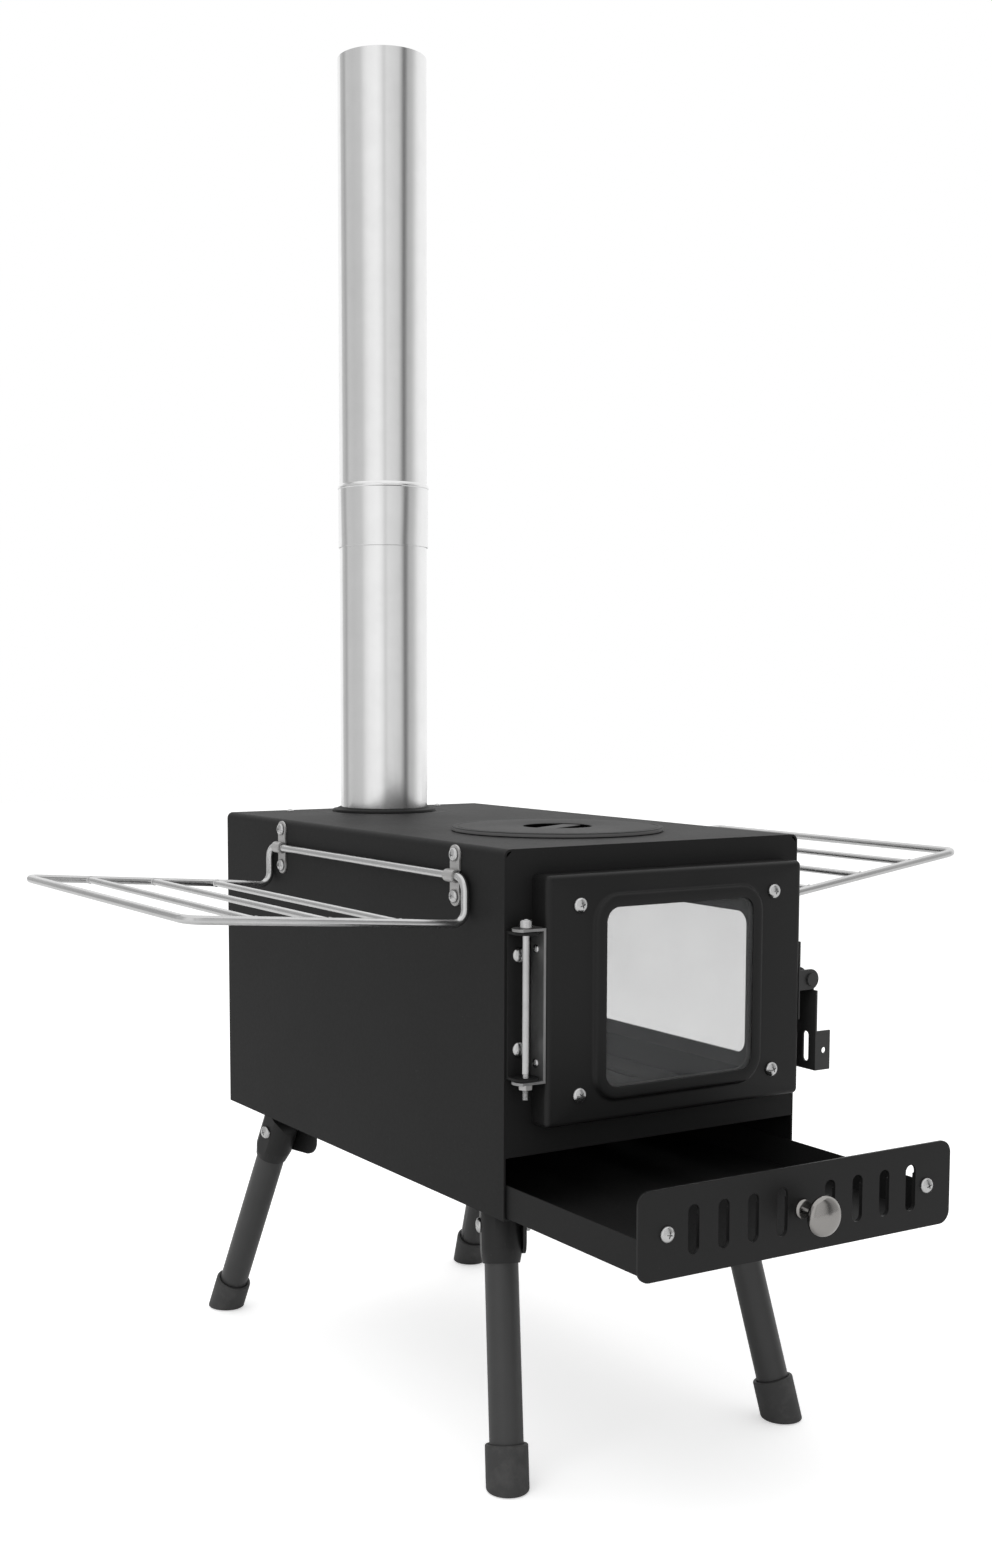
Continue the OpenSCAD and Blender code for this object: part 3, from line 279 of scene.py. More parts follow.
# %% The lathe
def turned(name, outline, centre=(0, 0, 0), turn=(0, 0, 0), steps=64, smooth=35):
    """Spin an outline of (radius, height) round Z, then turn it and move it to its centre."""
    r, z = outline[0]
    piece = one_point((r, 0, z))
    for (r0, z0), (r1, z1) in zip(outline, outline[1:]):
        extend((r1 - r0, 0, z1 - z0))
    bpy.ops.mesh.select_all(action="SELECT")
    bpy.ops.mesh.spin(steps=steps, angle=2 * math.pi, center=(0, 0, 0), axis=(0, 0, 1))
    bpy.ops.mesh.select_all(action="SELECT")
    bpy.ops.mesh.remove_doubles(threshold=0.004 * MM)
    bpy.ops.object.mode_set(mode="OBJECT")
    piece.rotation_euler = turn
    piece.location = centre
    settle(piece, name)
    return tidy_skin(piece, smooth)


print("lathe ready")


# %% [markdown]
# Pressed sheet with rounded corners, such as the door, is built from loops. Each loop is a plane
# whose corners are bevelled round and whose face is taken out. Loops at different depths are bridged
# in turn, which gives one clean skin that follows the press tool's steps.

# %% Stacked loops
def stacked(name, loops, corner=6):
    """Bridge rounded rectangles (width, height, corner radius, depth) that face -Y, front at depth 0."""
    piece = None
    for w, h, r, y in loops:
        deselect()
        bpy.ops.mesh.primitive_plane_add(size=1, location=(0, y, 0), rotation=(math.pi / 2, 0, 0))
        ring = bpy.context.object
        ring.scale = (w, h, 1)
        settle(ring, name + "_loop")
        edit(ring)
        bpy.ops.mesh.select_all(action="SELECT")
        bpy.ops.mesh.bevel(offset=r, segments=corner, affect="VERTICES", profile=0.5)
        bpy.ops.mesh.select_all(action="SELECT")
        bpy.ops.mesh.delete(type="ONLY_FACE")
        bpy.ops.object.mode_set(mode="OBJECT")
        if piece is None:
            piece = ring
            continue
        old = len(piece.data.vertices)
        each = len(ring.data.vertices)
        hold(piece, ring)
        bpy.ops.object.join()
        bpy.ops.object.mode_set(mode="EDIT")
        bpy.ops.mesh.select_mode(type="VERT")
        bpy.ops.mesh.select_all(action="DESELECT")
        bpy.ops.object.mode_set(mode="OBJECT")
        for i in range(old - each, old + each):
            piece.data.vertices[i].select = True
        bpy.ops.object.mode_set(mode="EDIT")
        bpy.ops.mesh.select_mode(type="EDGE")
        bpy.ops.mesh.bridge_edge_loops()
        bpy.ops.object.mode_set(mode="OBJECT")
    return piece


print("loops ready")


# %% [markdown]
# Finishes are built from nodes, and sums are easier to read as sums. `Wire` wraps the output of a node,
# so `1 - grain * 0.3` adds the two Math nodes by itself. `Finish` holds one material. Its `node`
# method adds any other node from its type, its settings and the values or wires of its inputs.

# %% Shader bench
class Wire:
    def __init__(self, finish, socket):
        self.finish = finish
        self.socket = socket

    def _sum(self, operation, a, b, clamp=False):
        return self.finish.node("Math", {"operation": operation, "use_clamp": clamp}, {0: a, 1: b})

    def __add__(self, other):
        return self._sum("ADD", self, other)

    def __radd__(self, other):
        return self._sum("ADD", other, self)

    def __sub__(self, other):
        return self._sum("SUBTRACT", self, other)

    def __rsub__(self, other):
        return self._sum("SUBTRACT", other, self)

    def __mul__(self, other):
        return self._sum("MULTIPLY", self, other)

    def __rmul__(self, other):
        return self._sum("MULTIPLY", other, self)

    def clamped(self):
        return self._sum("ADD", self, 0.0, True)

    def between(self, low, high):
        """0 below low, 1 above high, and a straight rise from one to the other."""
        return self.finish.node("Map Range", {"clamp": True}, {
            "Value": self, "From Min": low, "From Max": high, "To Min": 0.0, "To Max": 1.0})


TYPES = {"Math": "ShaderNodeMath", "Mix": "ShaderNodeMix", "Noise": "ShaderNodeTexNoise",
         "Ramp": "ShaderNodeValToRGB", "Light Path": "ShaderNodeLightPath",
         "Map Range": "ShaderNodeMapRange", "Mapping": "ShaderNodeMapping", "Bump": "ShaderNodeBump",
         "Coordinates": "ShaderNodeTexCoord", "Separate": "ShaderNodeSeparateXYZ",
         "Vector Math": "ShaderNodeVectorMath"}


class Finish:
    def __init__(self, name, **constants):
        self.material = bpy.data.materials.new(name)
        self.material.use_nodes = True
        self.tree = self.material.node_tree
        self.shader = self.tree.nodes["Principled BSDF"]
        self.set(**constants)
        self.place = self.node("Coordinates", {}, {}, "Object")

    def set(self, **values):
        """Set or link the shader's own sockets, named with underscores for spaces."""
        for key, value in values.items():
            self._feed(self.shader.inputs[key.replace("_", " ")], value)

    def _feed(self, socket, value):
        if isinstance(value, Wire):
            self.tree.links.new(value.socket, socket)
        else:
            socket.default_value = value

    def node(self, kind, settings, sockets, output=0):
        made = self.tree.nodes.new(TYPES[kind])
        for key, value in settings.items():
            if key == "stops":
                ramp = made.color_ramp
                while len(ramp.elements) < len(value):
                    ramp.elements.new(0.5)
                for element, (at, tone) in zip(ramp.elements, value):
                    element.position = at
                    element.color = grey(tone)
            else:
                setattr(made, key, value)
        for key, value in sockets.items():
            self._feed(made.inputs[key], value)
        return Wire(self, made.outputs[output])

    def height(self):
        return self.node("Separate", {}, {"Vector": self.place}, "Z")

    def beside(self, axis):
        """The way to here from an upright axis."""
        return self.node("Vector Math", {"operation": "SUBTRACT"}, {0: self.place, 1: (axis.x, axis.y, 0)})

    def stretched(self, x, y, z):
        """Object coordinates, scaled along each axis."""
        return self.node("Mapping", {}, {"Vector": self.place, "Scale": (x, y, z)})

    def noise(self, scale, detail=4.0, rough=0.55, spot=None):
        return self.node("Noise", {}, {"Vector": spot or self.place, "Scale": scale,
                                       "Detail": detail, "Roughness": rough}, "Fac")

    def mixed(self, factor, a, b):
        """Colour a where factor is 0, colour b where it is 1."""
        return self.node("Mix", {"data_type": "RGBA"}, {"Factor": factor, 6: a, 7: b}, 2)

    def bump(self, height, strength, depth, under=None):
        sockets = {"Height": height, "Strength": strength, "Distance": depth}
        if under:
            sockets["Normal"] = under
        return self.node("Bump", {}, sockets, "Normal")


def grey(tone, warm=0.0):
    """A linear grey. Warm leans it to yellow, and a negative value to blue."""
    return (tone * (1 + warm), tone, tone * (1 - warm), 1)


print("node kinds:", len(TYPES))

# %% [markdown]
# The firebox is powder coated. Close up the coat has a fine orange peel, and from further off it is
# a little cloudy, because the oven cures it unevenly. The peel is a bump from fine noise. The clouds
# move the roughness and the tone slightly. A few pale specks of dust and ash lie on it. On the top,
# pressing the hole for the flue left a shallow ring. The side of the lid's rolled rim is painted a little
# greyer than its top, as painted light, and the sides of the bar in its cup are painted nearly black, as
# painted shade.

# %% Black powder coat
def ring_round(f, axis, radius, width):
    """1 on a circle round an upright axis, falling smoothly to 0 a width away from it."""
    flat = f.node("Vector Math", {"operation": "MULTIPLY"}, {0: f.beside(axis), 1: (1, 1, 0)})
    away = f.node("Vector Math", {"operation": "LENGTH"}, {0: flat}, "Value")
    off = f.node("Math", {"operation": "ABSOLUTE"}, {0: away - radius})
    return 1 - f.node("Map Range", {"clamp": True, "interpolation_type": "SMOOTHSTEP"}, {
        "Value": off, "From Min": 0.0, "From Max": width, "To Min": 0.0, "To Max": 1.0})


def coat(name, tone, rough, peel=0.25, shine=0.35, cloud=0.06, speck=0.25, press=None, painted_rim_light=None,
         painted_shade_under=None):
    """Press is a ring (axis, radius, width). The rim is (axis, radius, height), and the rim's side below
    that height is painted greyer, as painted light. Below the height given for painted shade, the coat is
    painted nearly black, as painted shade."""
    f = Finish(name, Specular_IOR_Level=shine)
    grain = f.noise(1500, 2.0)
    mottle = f.noise(420, 3.0)
    clouds = f.noise(14, 5.0, 0.6)
    dust = f.noise(760, 1.0).between(0.70, 0.80) * f.noise(30, 2.0).between(0.45, 0.75)
    base = f.mixed(clouds, grey(tone * 0.8, -0.02), grey(tone * 1.25, 0.01))
    # Painted light: on the side of the lid's rim, below the given height, the coat is painted a lighter
    # grey, as if light caught the rim.
    if painted_rim_light:
        axis, radius, line = painted_rim_light
        edge = ring_round(f, axis, radius, 3 * MM)
        below = 1 - f.height().between(line - 0.2 * MM, line)
        base = f.mixed(edge * below, base, grey(0.12))
    # Painted shade: below the given height the coat is painted nearly black, as the shade on the bar's
    # sides down in the lid's cup.
    if painted_shade_under:
        over = f.height().between(painted_shade_under - 0.1 * MM, painted_shade_under)
        base = f.mixed(over, grey(0.001), base)
    f.set(Base_Color=f.mixed(dust * speck, base, grey(tone * 6 + 0.05)),
          Roughness=((clouds - 0.5) * cloud * 2 + (mottle - 0.5) * 0.10 + rough).clamped(),
          Normal=f.bump(grain * 0.6 + mottle * 0.4, peel, 0.08 * MM,
                        press and f.bump(ring_round(f, *press), 1.0, 0.22 * MM)))
    return f.material


BLACK = coat("black_powder_coat", 0.011, 0.58, 0.25, 0.18)
SHELL_BLACK = coat("shell_powder_coat", 0.011, 0.58, 0.25, 0.18, press=(FLUE, 45 * MM, 5 * MM))
DOOR_BLACK = coat("door_powder_coat", 0.009, 0.42, 0.20, 0.27)
SMALL_BLACK = coat("small_parts_coat", 0.012, 0.42, 0.18, 0.33)
LID_RADIUS, LID_T = 63.5, 2.4
# The lid's coat carries painted light on the side of its rim.
LID_BLACK = coat("lid_powder_coat_painted_rim_light", 0.015, 0.54, 0.3, 0.19,
                 painted_rim_light=(LID, LID_RADIUS * MM, high("cook_lid").z - 0.45 * MM))
# The bar's coat carries painted shade on its sides in the cup.
BAR_BLACK = coat("lid_bar_coat_painted_shade", 0.024, 0.5, 0.2, 0.2, painted_shade_under=high("lid_bar").z - 0.3 * MM)
TRAY_BLACK = coat("tray_coat", 0.014, 0.58, 0.25, 0.16)
LATCH_BLACK = coat("latch_coat", 0.034, 0.42, 0.2, 0.4)
# Painted shade: the lid's cup is nearly black and without shine, standing in for the shade in its hollow.
CUP_PAINTED_SHADE = coat("lid_cup_painted_shade", 0.002, 0.85, 0.3, 0.0, 0.06, 0.03)
print("coats:", [c.name for c in (BLACK, SHELL_BLACK, DOOR_BLACK, SMALL_BLACK, LID_BLACK, BAR_BLACK,
                                  TRAY_BLACK, LATCH_BLACK, CUP_PAINTED_SHADE)])

# %% [markdown]
# The walls inside have the same coat, but the fire has dulled it and left soot in drifts, and the whole is
# painted several times lighter than the outer coat, as painted light for the dim firebox. The leg tubes
# have a smoother satin coat with faint marks along the tube, where they slid in their box.

# %% Sooty inside painted lighter, satin legs
def soot_and_painted_light(name):
    f = Finish(name, Specular_IOR_Level=0.3)
    drift = f.noise(18, 6.0, 0.65)
    flecks = f.noise(900, 2.0)
    # Painted light: both greys are far lighter than the outer coat, standing in for light inside the
    # firebox; the drifts between them are soot.
    f.set(Base_Color=f.mixed(drift.between(0.35, 0.7), grey(0.060), grey(0.095, 0.05)),
          Roughness=(drift * 0.25 + flecks * 0.1 + 0.5).clamped(),
          Normal=f.bump(flecks, 0.35, 0.12 * MM))
    return f.material


def satin(name, tone, rough):
    f = Finish(name, Specular_IOR_Level=0.5)
    rubbed = f.noise(1.0, 4.0, 0.6, f.stretched(600, 600, 30))
    cloud = f.noise(40, 3.0)
    f.set(Base_Color=f.mixed(cloud, grey(tone * 0.85), grey(tone * 1.2)),
          Roughness=(rubbed * 0.14 + cloud * 0.08 + rough - 0.1).clamped(),
          Normal=f.bump(f.noise(1300, 2.0), 0.15, 0.05 * MM))
    return f.material


INSIDE = soot_and_painted_light("sooty_sheet_painted_light")
LEG = satin("satin_leg_coat", 0.036, 0.38)
print("inside:", INSIDE.name, "legs:", LEG.name)

# %% [markdown]
# The flue pipe is rolled from bright stainless sheet. It mirrors the room as tall streaks, because the
# rolling leaves long faint scratches and the sheet isn't quite round. The scratches are noise
# stretched along the pipe. The rods, the zinc brackets and the nickel knob are made the same way,
# each with its own scratches and tone.

# %% Bright metals
def metal(name, tone, rough, stretch, warm=0.0, streak=0.08, depth=0.02, blotch=0.1, waves=0.0,
          metallic=1.0):
    f = Finish(name, Metallic=metallic)
    lines = f.noise(1.0, 4.0, 0.7, f.stretched(*stretch))
    patches = f.noise(60, 4.0)
    normal = f.bump(lines, 0.25, depth * MM)
    if waves:
        normal = f.bump(f.noise(1.0, 2.0, 0.5, f.stretched(38, 38, 6)), 0.5, waves * MM, normal)
    dull = grey(tone * (1 - blotch), warm)
    f.set(Base_Color=f.mixed(patches.between(0.3, 0.75), grey(tone, warm), dull),
          Roughness=((lines - 0.5) * 2 * streak + (patches - 0.5) * 0.08 + rough).clamped(),
          Normal=normal)
    return f.material


FLUE_STEEL = metal("flue_steel", 0.86, 0.16, (2200, 2200, 14), 0.0, 0.05, 0.012, 0.05, 0.25)
ROD_STEEL = metal("drawn_rod", 0.66, 0.22, (900, 60, 900), 0.0, 0.07, 0.02)
ZINC = metal("bright_zinc", 0.55, 0.42, (700, 700, 700), 0.01, 0.10, 0.03, 0.22, metallic=0.7)
HINGE_ZINC = metal("hinge_zinc", 0.34, 0.36, (500, 500, 60), 0.0, 0.10, 0.03, 0.35, metallic=0.8)
SCREW_STEEL = metal("screw_steel", 0.62, 0.24, (900, 900, 900), 0.0, 0.08, 0.015, 0.15)
NICKEL = metal("knob_nickel", 0.34, 0.16, (300, 2600, 300), 0.035, 0.06, 0.01, 0.06)
print("metals:", [m.name for m in (FLUE_STEEL, ROD_STEEL, ZINC, HINGE_ZINC, SCREW_STEEL, NICKEL)])

# %% [markdown]
# Glass for stoves is a clear ceramic pane. Seen through the two panes, the white room behind turns
# light grey, and a thin film of ash makes them a shade duller in places. Principled's Alpha
# lets the room through, and the film raises it a little. The feet are black rubber, dull and grained.

# %% Panes and rubber
def pane(name, alpha):
    f = Finish(name, Base_Color=grey(0.22, -0.02), Specular_IOR_Level=0.5)
    film = f.noise(22, 5.0, 0.6).between(0.3, 0.85)
    f.set(Alpha=(film * 0.03 + alpha).clamped(), Roughness=(film * 0.10 + 0.03).clamped())
    return f.material


def rubber(name):
    f = Finish(name, Specular_IOR_Level=0.35)
    grain = f.noise(1100, 3.0)
    scuff = f.noise(70, 5.0, 0.65).between(0.5, 0.8)
    f.set(Base_Color=f.mixed(scuff, grey(0.046), grey(0.080, 0.02)),
          Roughness=(grain * 0.15 + scuff * 0.1 + 0.48).clamped(),
          Normal=f.bump(grain, 0.4, 0.06 * MM))
    return f.material


GLASS = pane("stove_glass", 0.17)
RUBBER = rubber("foot_rubber")
print("panes and rubber:", GLASS.name, RUBBER.name)


# %% [markdown]
# A finished piece needs three things: its finish, the body that it rides on, and the solid that it
# stands for. The body is read from the solid, so that a piece can't ride on the wrong one.

# %% Fitting a piece
def body_of_node(node):
    for name, empty in frame["bodies"].items():
        up = frame["nodes"][node].parent
        while up is not None:
            if up == empty:
                return name
            up = up.parent
    return "root"


def dress(piece, finish, node, slot):
    piece.data.materials.clear()
    piece.data.materials.append(finish)
    for face in piece.data.polygons:
        face.material_index = 0
    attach(piece, body_of_node(node))
    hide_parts(node)
    return piece


def repaint(finish, *nodes):
    for node in nodes:
        for place in frame["nodes"][node].material_slots:
            place.material = finish


repaint(INSIDE, "grate_ledges", "fire_grate", "side_glass_frame", "glass_frame")
repaint(GLASS, "door_glass", "side_glass")
print("body of the pane:", body_of_node("door_glass"))


# %% [markdown]
# The firebox is one sheet folded down at both sides, with a front and a back panel folded into it.
# The folds are in the solids already. A cut sheet still has a small burr rounded by the coat, which
# shows as a thin light line, so softened copies take the place of the sharp solids.

# %% Firebox sheets
for node, edge in (("shell", 0.35), ("front_panel", 0.3), ("back_panel", 0.3), ("base_plate", 0.3)):
    piece = softened(node, edge * MM, node + "_sheet")
    dress(piece, SHELL_BLACK if node == "shell" else BLACK, node, "black_coat")
    print(piece.name, len(piece.data.polygons), "faces")

# %% [markdown]
# The door is a shallow pan pressed from one sheet. From the back edge the skin runs forward, folds over
# at a small radius, lies flat, steps up to the band round the window and folds back to the pane. Each
# of those places is one loop. Solidify then gives the skin its sheet thickness on the inner side.

# %% Door pan
door_low, door_high = low("door_pan"), high("door_pan")
door_w = door_high.x - door_low.x
door_h = door_high.z - door_low.z
band_rise = 2.6 * MM
door_face = door_low.y + band_rise
door_deep = door_high.y - door_face
window_w, window_h, window_r = 102 * MM, 98.5 * MM, 8 * MM
band = 7.4 * MM
fold = 3.0 * MM

door_loops = [(door_w, door_h, 3.2 * MM, door_deep)]
for degrees in (0, 18, 36, 54, 72, 90):
    t = math.radians(degrees)
    cut = fold * (1 - math.cos(t))
    door_loops.append((door_w - 2 * cut, door_h - 2 * cut, max(3.2 * MM - cut, 0.4 * MM),
                       fold * (1 - math.sin(t))))
# The step up to the band round the window: how far in from its outer edge, and how high.
for out, rise in ((-1.6, 0.0), (-1.0, 0.08), (-0.4, 0.35), (0.0, 0.85), (0.35, 1.55), (0.85, 2.15),
                  (1.5, 2.48), (2.3, 2.6), (6.5, 2.6), (7.0, 2.5), (7.3, 2.2), (7.4, 1.8)):
    side = band - out * MM
    door_loops.append((window_w + 2 * side, window_h + 2 * side, window_r + side, -rise * MM))
door = stacked("door_skin", door_loops, 7)
door.location = ((door_low.x + door_high.x) / 2, door_face, (door_low.z + door_high.z) / 2)
settle(door, "door_skin")
tidy_skin(door, 40)
modify(door, "SOLIDIFY", thickness=1.1 * MM, offset=-1, use_even_offset=True)
tidy_skin(door, 40)
dress(door, DOOR_BLACK, "door_pan", "door_coat")
print("door", len(door.data.polygons), "faces, box", [round(v, 4) for v in door.dimensions])


# %% [markdown]
# All the screws are one kind: a low dome with a cross for the driver, a shank and a nut behind the
# sheet. One is turned for each size, the cross is cut by a Boolean, and copies go where the solids
# have their screws. The place and the direction are read from each loose solid of the node.

# %% One screw, one nut
PITCH = 0.7 * MM


def screw_model(head_r, head_h, long):
    r = min(2.0 * MM, head_r * 0.5)
    outline = [(0, -long), (r * 0.8, -long)]
    z = -long + PITCH / 2
    while z < -long + 5.2 * MM and z < -1.5 * MM:
        outline += [(r, z), (r * 0.86, z + PITCH / 2)]
        z += PITCH
    outline += [(r, z), (r, -0.01 * MM), (head_r * 0.93, 0), (head_r, head_h * 0.12)]
    for degrees in (15, 32, 48, 62, 76):
        t = math.radians(degrees)
        outline.append((head_r * math.cos(t), head_h * (0.12 + 0.88 * math.sin(t))))
    outline.append((0, head_h))
    piece = turned("screw", outline, steps=36, smooth=38)
    for turn in (0, math.pi / 2):
        deselect()
        bpy.ops.mesh.primitive_cube_add(size=1, location=(0, 0, head_h), rotation=(0, 0, turn))
        cutter = bpy.context.object
        cutter.scale = (head_r * 1.05, head_r * 0.2, head_h * 1.1)
        settle(cutter, "cross")
        edit(cutter)
        pick(cutter, lambda co: co.z < head_h)
        bpy.ops.transform.resize(value=(0.55, 0.55, 1))
        bpy.ops.object.mode_set(mode="OBJECT")
        carve(piece, cutter, "DIFFERENCE")
    shade(piece, 38)
    return piece


def nut_model(half_across, deep, bore):
    """A nut with its corners turned off at both faces, from z = 0 up."""
    deselect()
    bpy.ops.mesh.primitive_cylinder_add(vertices=6, radius=half_across, depth=deep,
                                        location=(0, 0, deep / 2))
    piece = settle(bpy.context.object, "nut")
    narrow, painted_rim_light, wide = half_across * 0.80, half_across * 0.86, half_across * 1.05
    cone = turned("turned_off", [(0, -MM), (narrow, -MM), (painted_rim_light, 0), (wide, deep * 0.22),
                                 (wide, deep * 0.78), (painted_rim_light, deep), (narrow, deep + MM), (0, deep + MM)],
                  steps=36)
    hole = turned("hole", [(0, -MM), (bore, -MM), (bore, deep + MM), (0, deep + MM)], steps=24)
    carve(piece, cone, "INTERSECT")
    carve(piece, hole, "DIFFERENCE")
    shade(piece, 30)
    return piece


print("screw bench ready")

# %% [markdown]
# `fasteners` walks through the loose solids of a node. A long one is a screw and a short one is a nut.
# Its length and radius are measured along the direction that its head faces.

# %% Screws and nuts in their places
HEAD_SHARE = 0.3
models = {}


def copy_of(model, matrix):
    piece = bpy.data.objects.new(model.name, model.data.copy())
    bpy.context.scene.collection.objects.link(piece)
    piece.data.transform(matrix)
    return piece


def fasteners(node, direction):
    """Replace a node of screws whose heads face a direction, one for all or one given by the place."""
    made = []
    for points in islands(node):
        centre = sum(points, Vector()) / len(points)
        d = Vector(direction(centre) if callable(direction) else direction).normalized()
        side = d.orthogonal().normalized() if abs(d.z) > 0.9 else Vector((0, 0, 1))
        other = d.cross(side)
        spans = [(min(p.dot(a) for p in points), max(p.dot(a) for p in points))
                 for a in (d, side, other)]
        long, tall, wide = (end - start for start, end in spans)
        radius = max(tall, wide) / 2
        axis = side * (sum(spans[1]) / 2) + other * (sum(spans[2]) / 2)
        turn = Matrix((side, other, d)).transposed().to_4x4()
        if long > 1.2 * radius:
            head_h = radius * 2 * HEAD_SHARE
            key = ("screw", round(radius, 5), round(long, 5))
            if key not in models:
                models[key] = screw_model(radius, head_h, long - head_h)
            seat = axis + d * (spans[0][1] - head_h)
            angle = math.radians(17 + 61 * len(made))
        else:
            key = ("nut", round(radius, 5), round(long, 5))
            if key not in models:
                models[key] = nut_model(radius, long, radius * 0.5)
            seat = axis + d * spans[0][0]
            angle = 0 if tall > wide else math.pi / 2
        twist = Matrix.Rotation(angle, 4, "Z")
        made.append(copy_of(models[key], Matrix.Translation(seat) @ turn @ twist))
    piece = join(node + "_made", made)
    return dress(piece, SCREW_STEEL, node, "zinc")


def bolt_way(centre):
    """A leg's bolt faces out of its own side, turned a little as the leg's lean is."""
    sx = -1 if centre.x < 0 else 1
    sy = -1 if centre.y < (low("shell").y + high("shell").y) / 2 else 1
    toe = math.radians(26 if sy < 0 else 13)
    return (sx * math.cos(toe), -sy * math.sin(toe), 0)


for node, way in (("door_screws", (0, -1, 0)), ("drawer_screws", (0, -1, 0)), ("top_screws", (0, 0, 1)),
                  ("hinge_screws_body", (0, -1, 0)), ("hinge_screws_door", (-1, 0, 0)),
                  ("rack_screws_left", (-1, 0, 0)), ("rack_screws_right", (1, 0, 0)),
                  ("side_glass_screws", (1, 0, 0)), ("leg_bolts", bolt_way)):
    piece = fasteners(node, way)
    print(piece.name, len(piece.data.polygons), "faces")
for model in models.values():
    bpy.data.objects.remove(model)


# %% [markdown]
# The flue is two rolled pipes. The upper one ends in a bell that is pushed over the lower one, with a
# small rolled bead above it and a turned-in lip below. Each pipe is one outline, drawn down the outside
# and up the inside, and spun into a closed wall. The collar is a flanged ring that holds the lower end.

# %% Flue
PIPE_IN, PIPE_OUT, BELL_IN, BELL_OUT = 29.4, 30, 30.3, 30.9


def pipe_at(name, outline, steps=128):
    return turned(name, [(r * MM, z) for r, z in outline], (FLUE.x, FLUE.y, 0), steps=steps, smooth=40)


pipe_low, pipe_high = low("pipe_lower").z, high("pipe_lower").z
bell_low, outlet = low("pipe_upper").z, high("pipe_upper").z
lower = pipe_at("flue_lower", [(PIPE_IN, pipe_low), (PIPE_OUT, pipe_low), (PIPE_OUT, pipe_high),
                               (PIPE_IN, pipe_high), (PIPE_IN, pipe_low)])
dress(lower, FLUE_STEEL, "pipe_lower", "flue_steel")

join_z = pipe_high + 0.3 * MM
bead = [(0.45 * math.sin(math.radians(a)), -0.96 - 0.96 * math.cos(math.radians(a)))
        for a in (0, 30, 60, 90, 120, 150, 180)]
upper = pipe_at("flue_upper", [
    (BELL_IN, bell_low), (30.75, bell_low), (BELL_OUT, bell_low + 0.15 * MM),
    (BELL_OUT, bell_low + 0.9 * MM), (30.72, bell_low + 1.3 * MM)]
    + [(BELL_OUT + dx, join_z + dz * MM) for dx, dz in bead]
    + [(30.72, join_z + 0.5 * MM), (BELL_IN, join_z + 1.1 * MM), (PIPE_OUT, join_z + 1.7 * MM),
       (PIPE_OUT, outlet - 0.1 * MM), (29.9, outlet), (29.5, outlet), (PIPE_IN, outlet - 0.1 * MM),
       (PIPE_IN, join_z), (BELL_IN, join_z), (BELL_IN, bell_low)])
dress(upper, FLUE_STEEL, "pipe_upper", "flue_steel")
print("flue", round(lower.dimensions.z, 4), round(upper.dimensions.z, 4))

# %% Flue collar
neck = BELL_IN
collar_top = high("flue_collar").z
seat = low("flue_collar").z
collar = pipe_at("flue_collar_ring", [
    (neck - 4.8, seat), (neck + 1.2, seat), (neck + 1.2, TOP_Z), (35.8, TOP_Z),
    (36.0, TOP_Z + 0.2 * MM), (35.95, TOP_Z + 1.0 * MM), (35.5, TOP_Z + 1.6 * MM),
    (neck + 2.6, TOP_Z + 2.2 * MM), (neck + 1.8, TOP_Z + 2.5 * MM), (neck + 1.3, collar_top - 0.15 * MM),
    (neck + 1.0, collar_top), (neck + 0.1, collar_top), (neck, collar_top - 0.15 * MM),
    (neck, seat + 1.2 * MM), (neck - 4.8, seat + 1.2 * MM), (neck - 4.8, seat)], 96)
dress(collar, BLACK, "flue_collar", "black_coat")
print(collar.name, len(collar.data.polygons))

# %% [markdown]
# The cook lid is a pressed disc. Its edge is rolled over, a fine groove runs just inside it, and the
# middle is pressed down into a cup, turned as a piece of its own and painted nearly black without shine,
# as painted shade in the hollow.
# A flat bar crosses the cup, and a hook lifts the lid by it.

# %% Cook lid
lid_top = high("cook_lid").z
lid_base = lid_top - LID_T * MM
lid_low = low("cook_lid").z
lid_outline = [(21.2, lid_base), (55.5, lid_base), (55.5, lid_base - 3.3 * MM),
               (58.7, lid_base - 3.3 * MM), (58.9, lid_base - 3.1 * MM), (58.9, lid_base),
               (63.3, lid_base), (LID_RADIUS, lid_base + 0.2 * MM), (LID_RADIUS, lid_top - 0.7 * MM),
               (63.25, lid_top - 0.25 * MM), (62.7, lid_top - 0.04 * MM), (62.1, lid_top),
               (60.6, lid_top), (60.3, lid_top - 0.25 * MM), (59.9, lid_top - 0.25 * MM),
               (59.6, lid_top), (21.6, lid_top), (21.0, lid_top - 0.12 * MM),
               (20.65, lid_top - 0.4 * MM), (20.65, lid_base), (21.2, lid_base)]
lid = turned("cook_lid_disc", [(r * MM, z) for r, z in lid_outline], (LID.x, LID.y, 0), steps=128)
dress(lid, LID_BLACK, "cook_lid", "black_coat")
cup_outline = [(0, lid_low), (20.6, lid_low), (21.1, lid_low + 0.5 * MM), (21.2, lid_base),
               (20.6, lid_base), (20.6, lid_top - 0.4 * MM), (20.3, lid_top - 0.3 * MM),
               (20.0, lid_top - 0.5 * MM), (20.0, lid_low + 1.6 * MM), (19.6, lid_low + 1.2 * MM),
               (0, lid_low + 1.2 * MM)]
cup = turned("cook_lid_cup", [(r * MM, z) for r, z in cup_outline], (LID.x, LID.y, 0), steps=96)
dress(cup, CUP_PAINTED_SHADE, "cook_lid", "black_coat")
bar = softened("lid_bar", 0.35 * MM, "lid_lifting_bar")
dress(bar, BAR_BLACK, "lid_bar", "black_coat")
print("lid", [round(v, 4) for v in lid.dimensions])

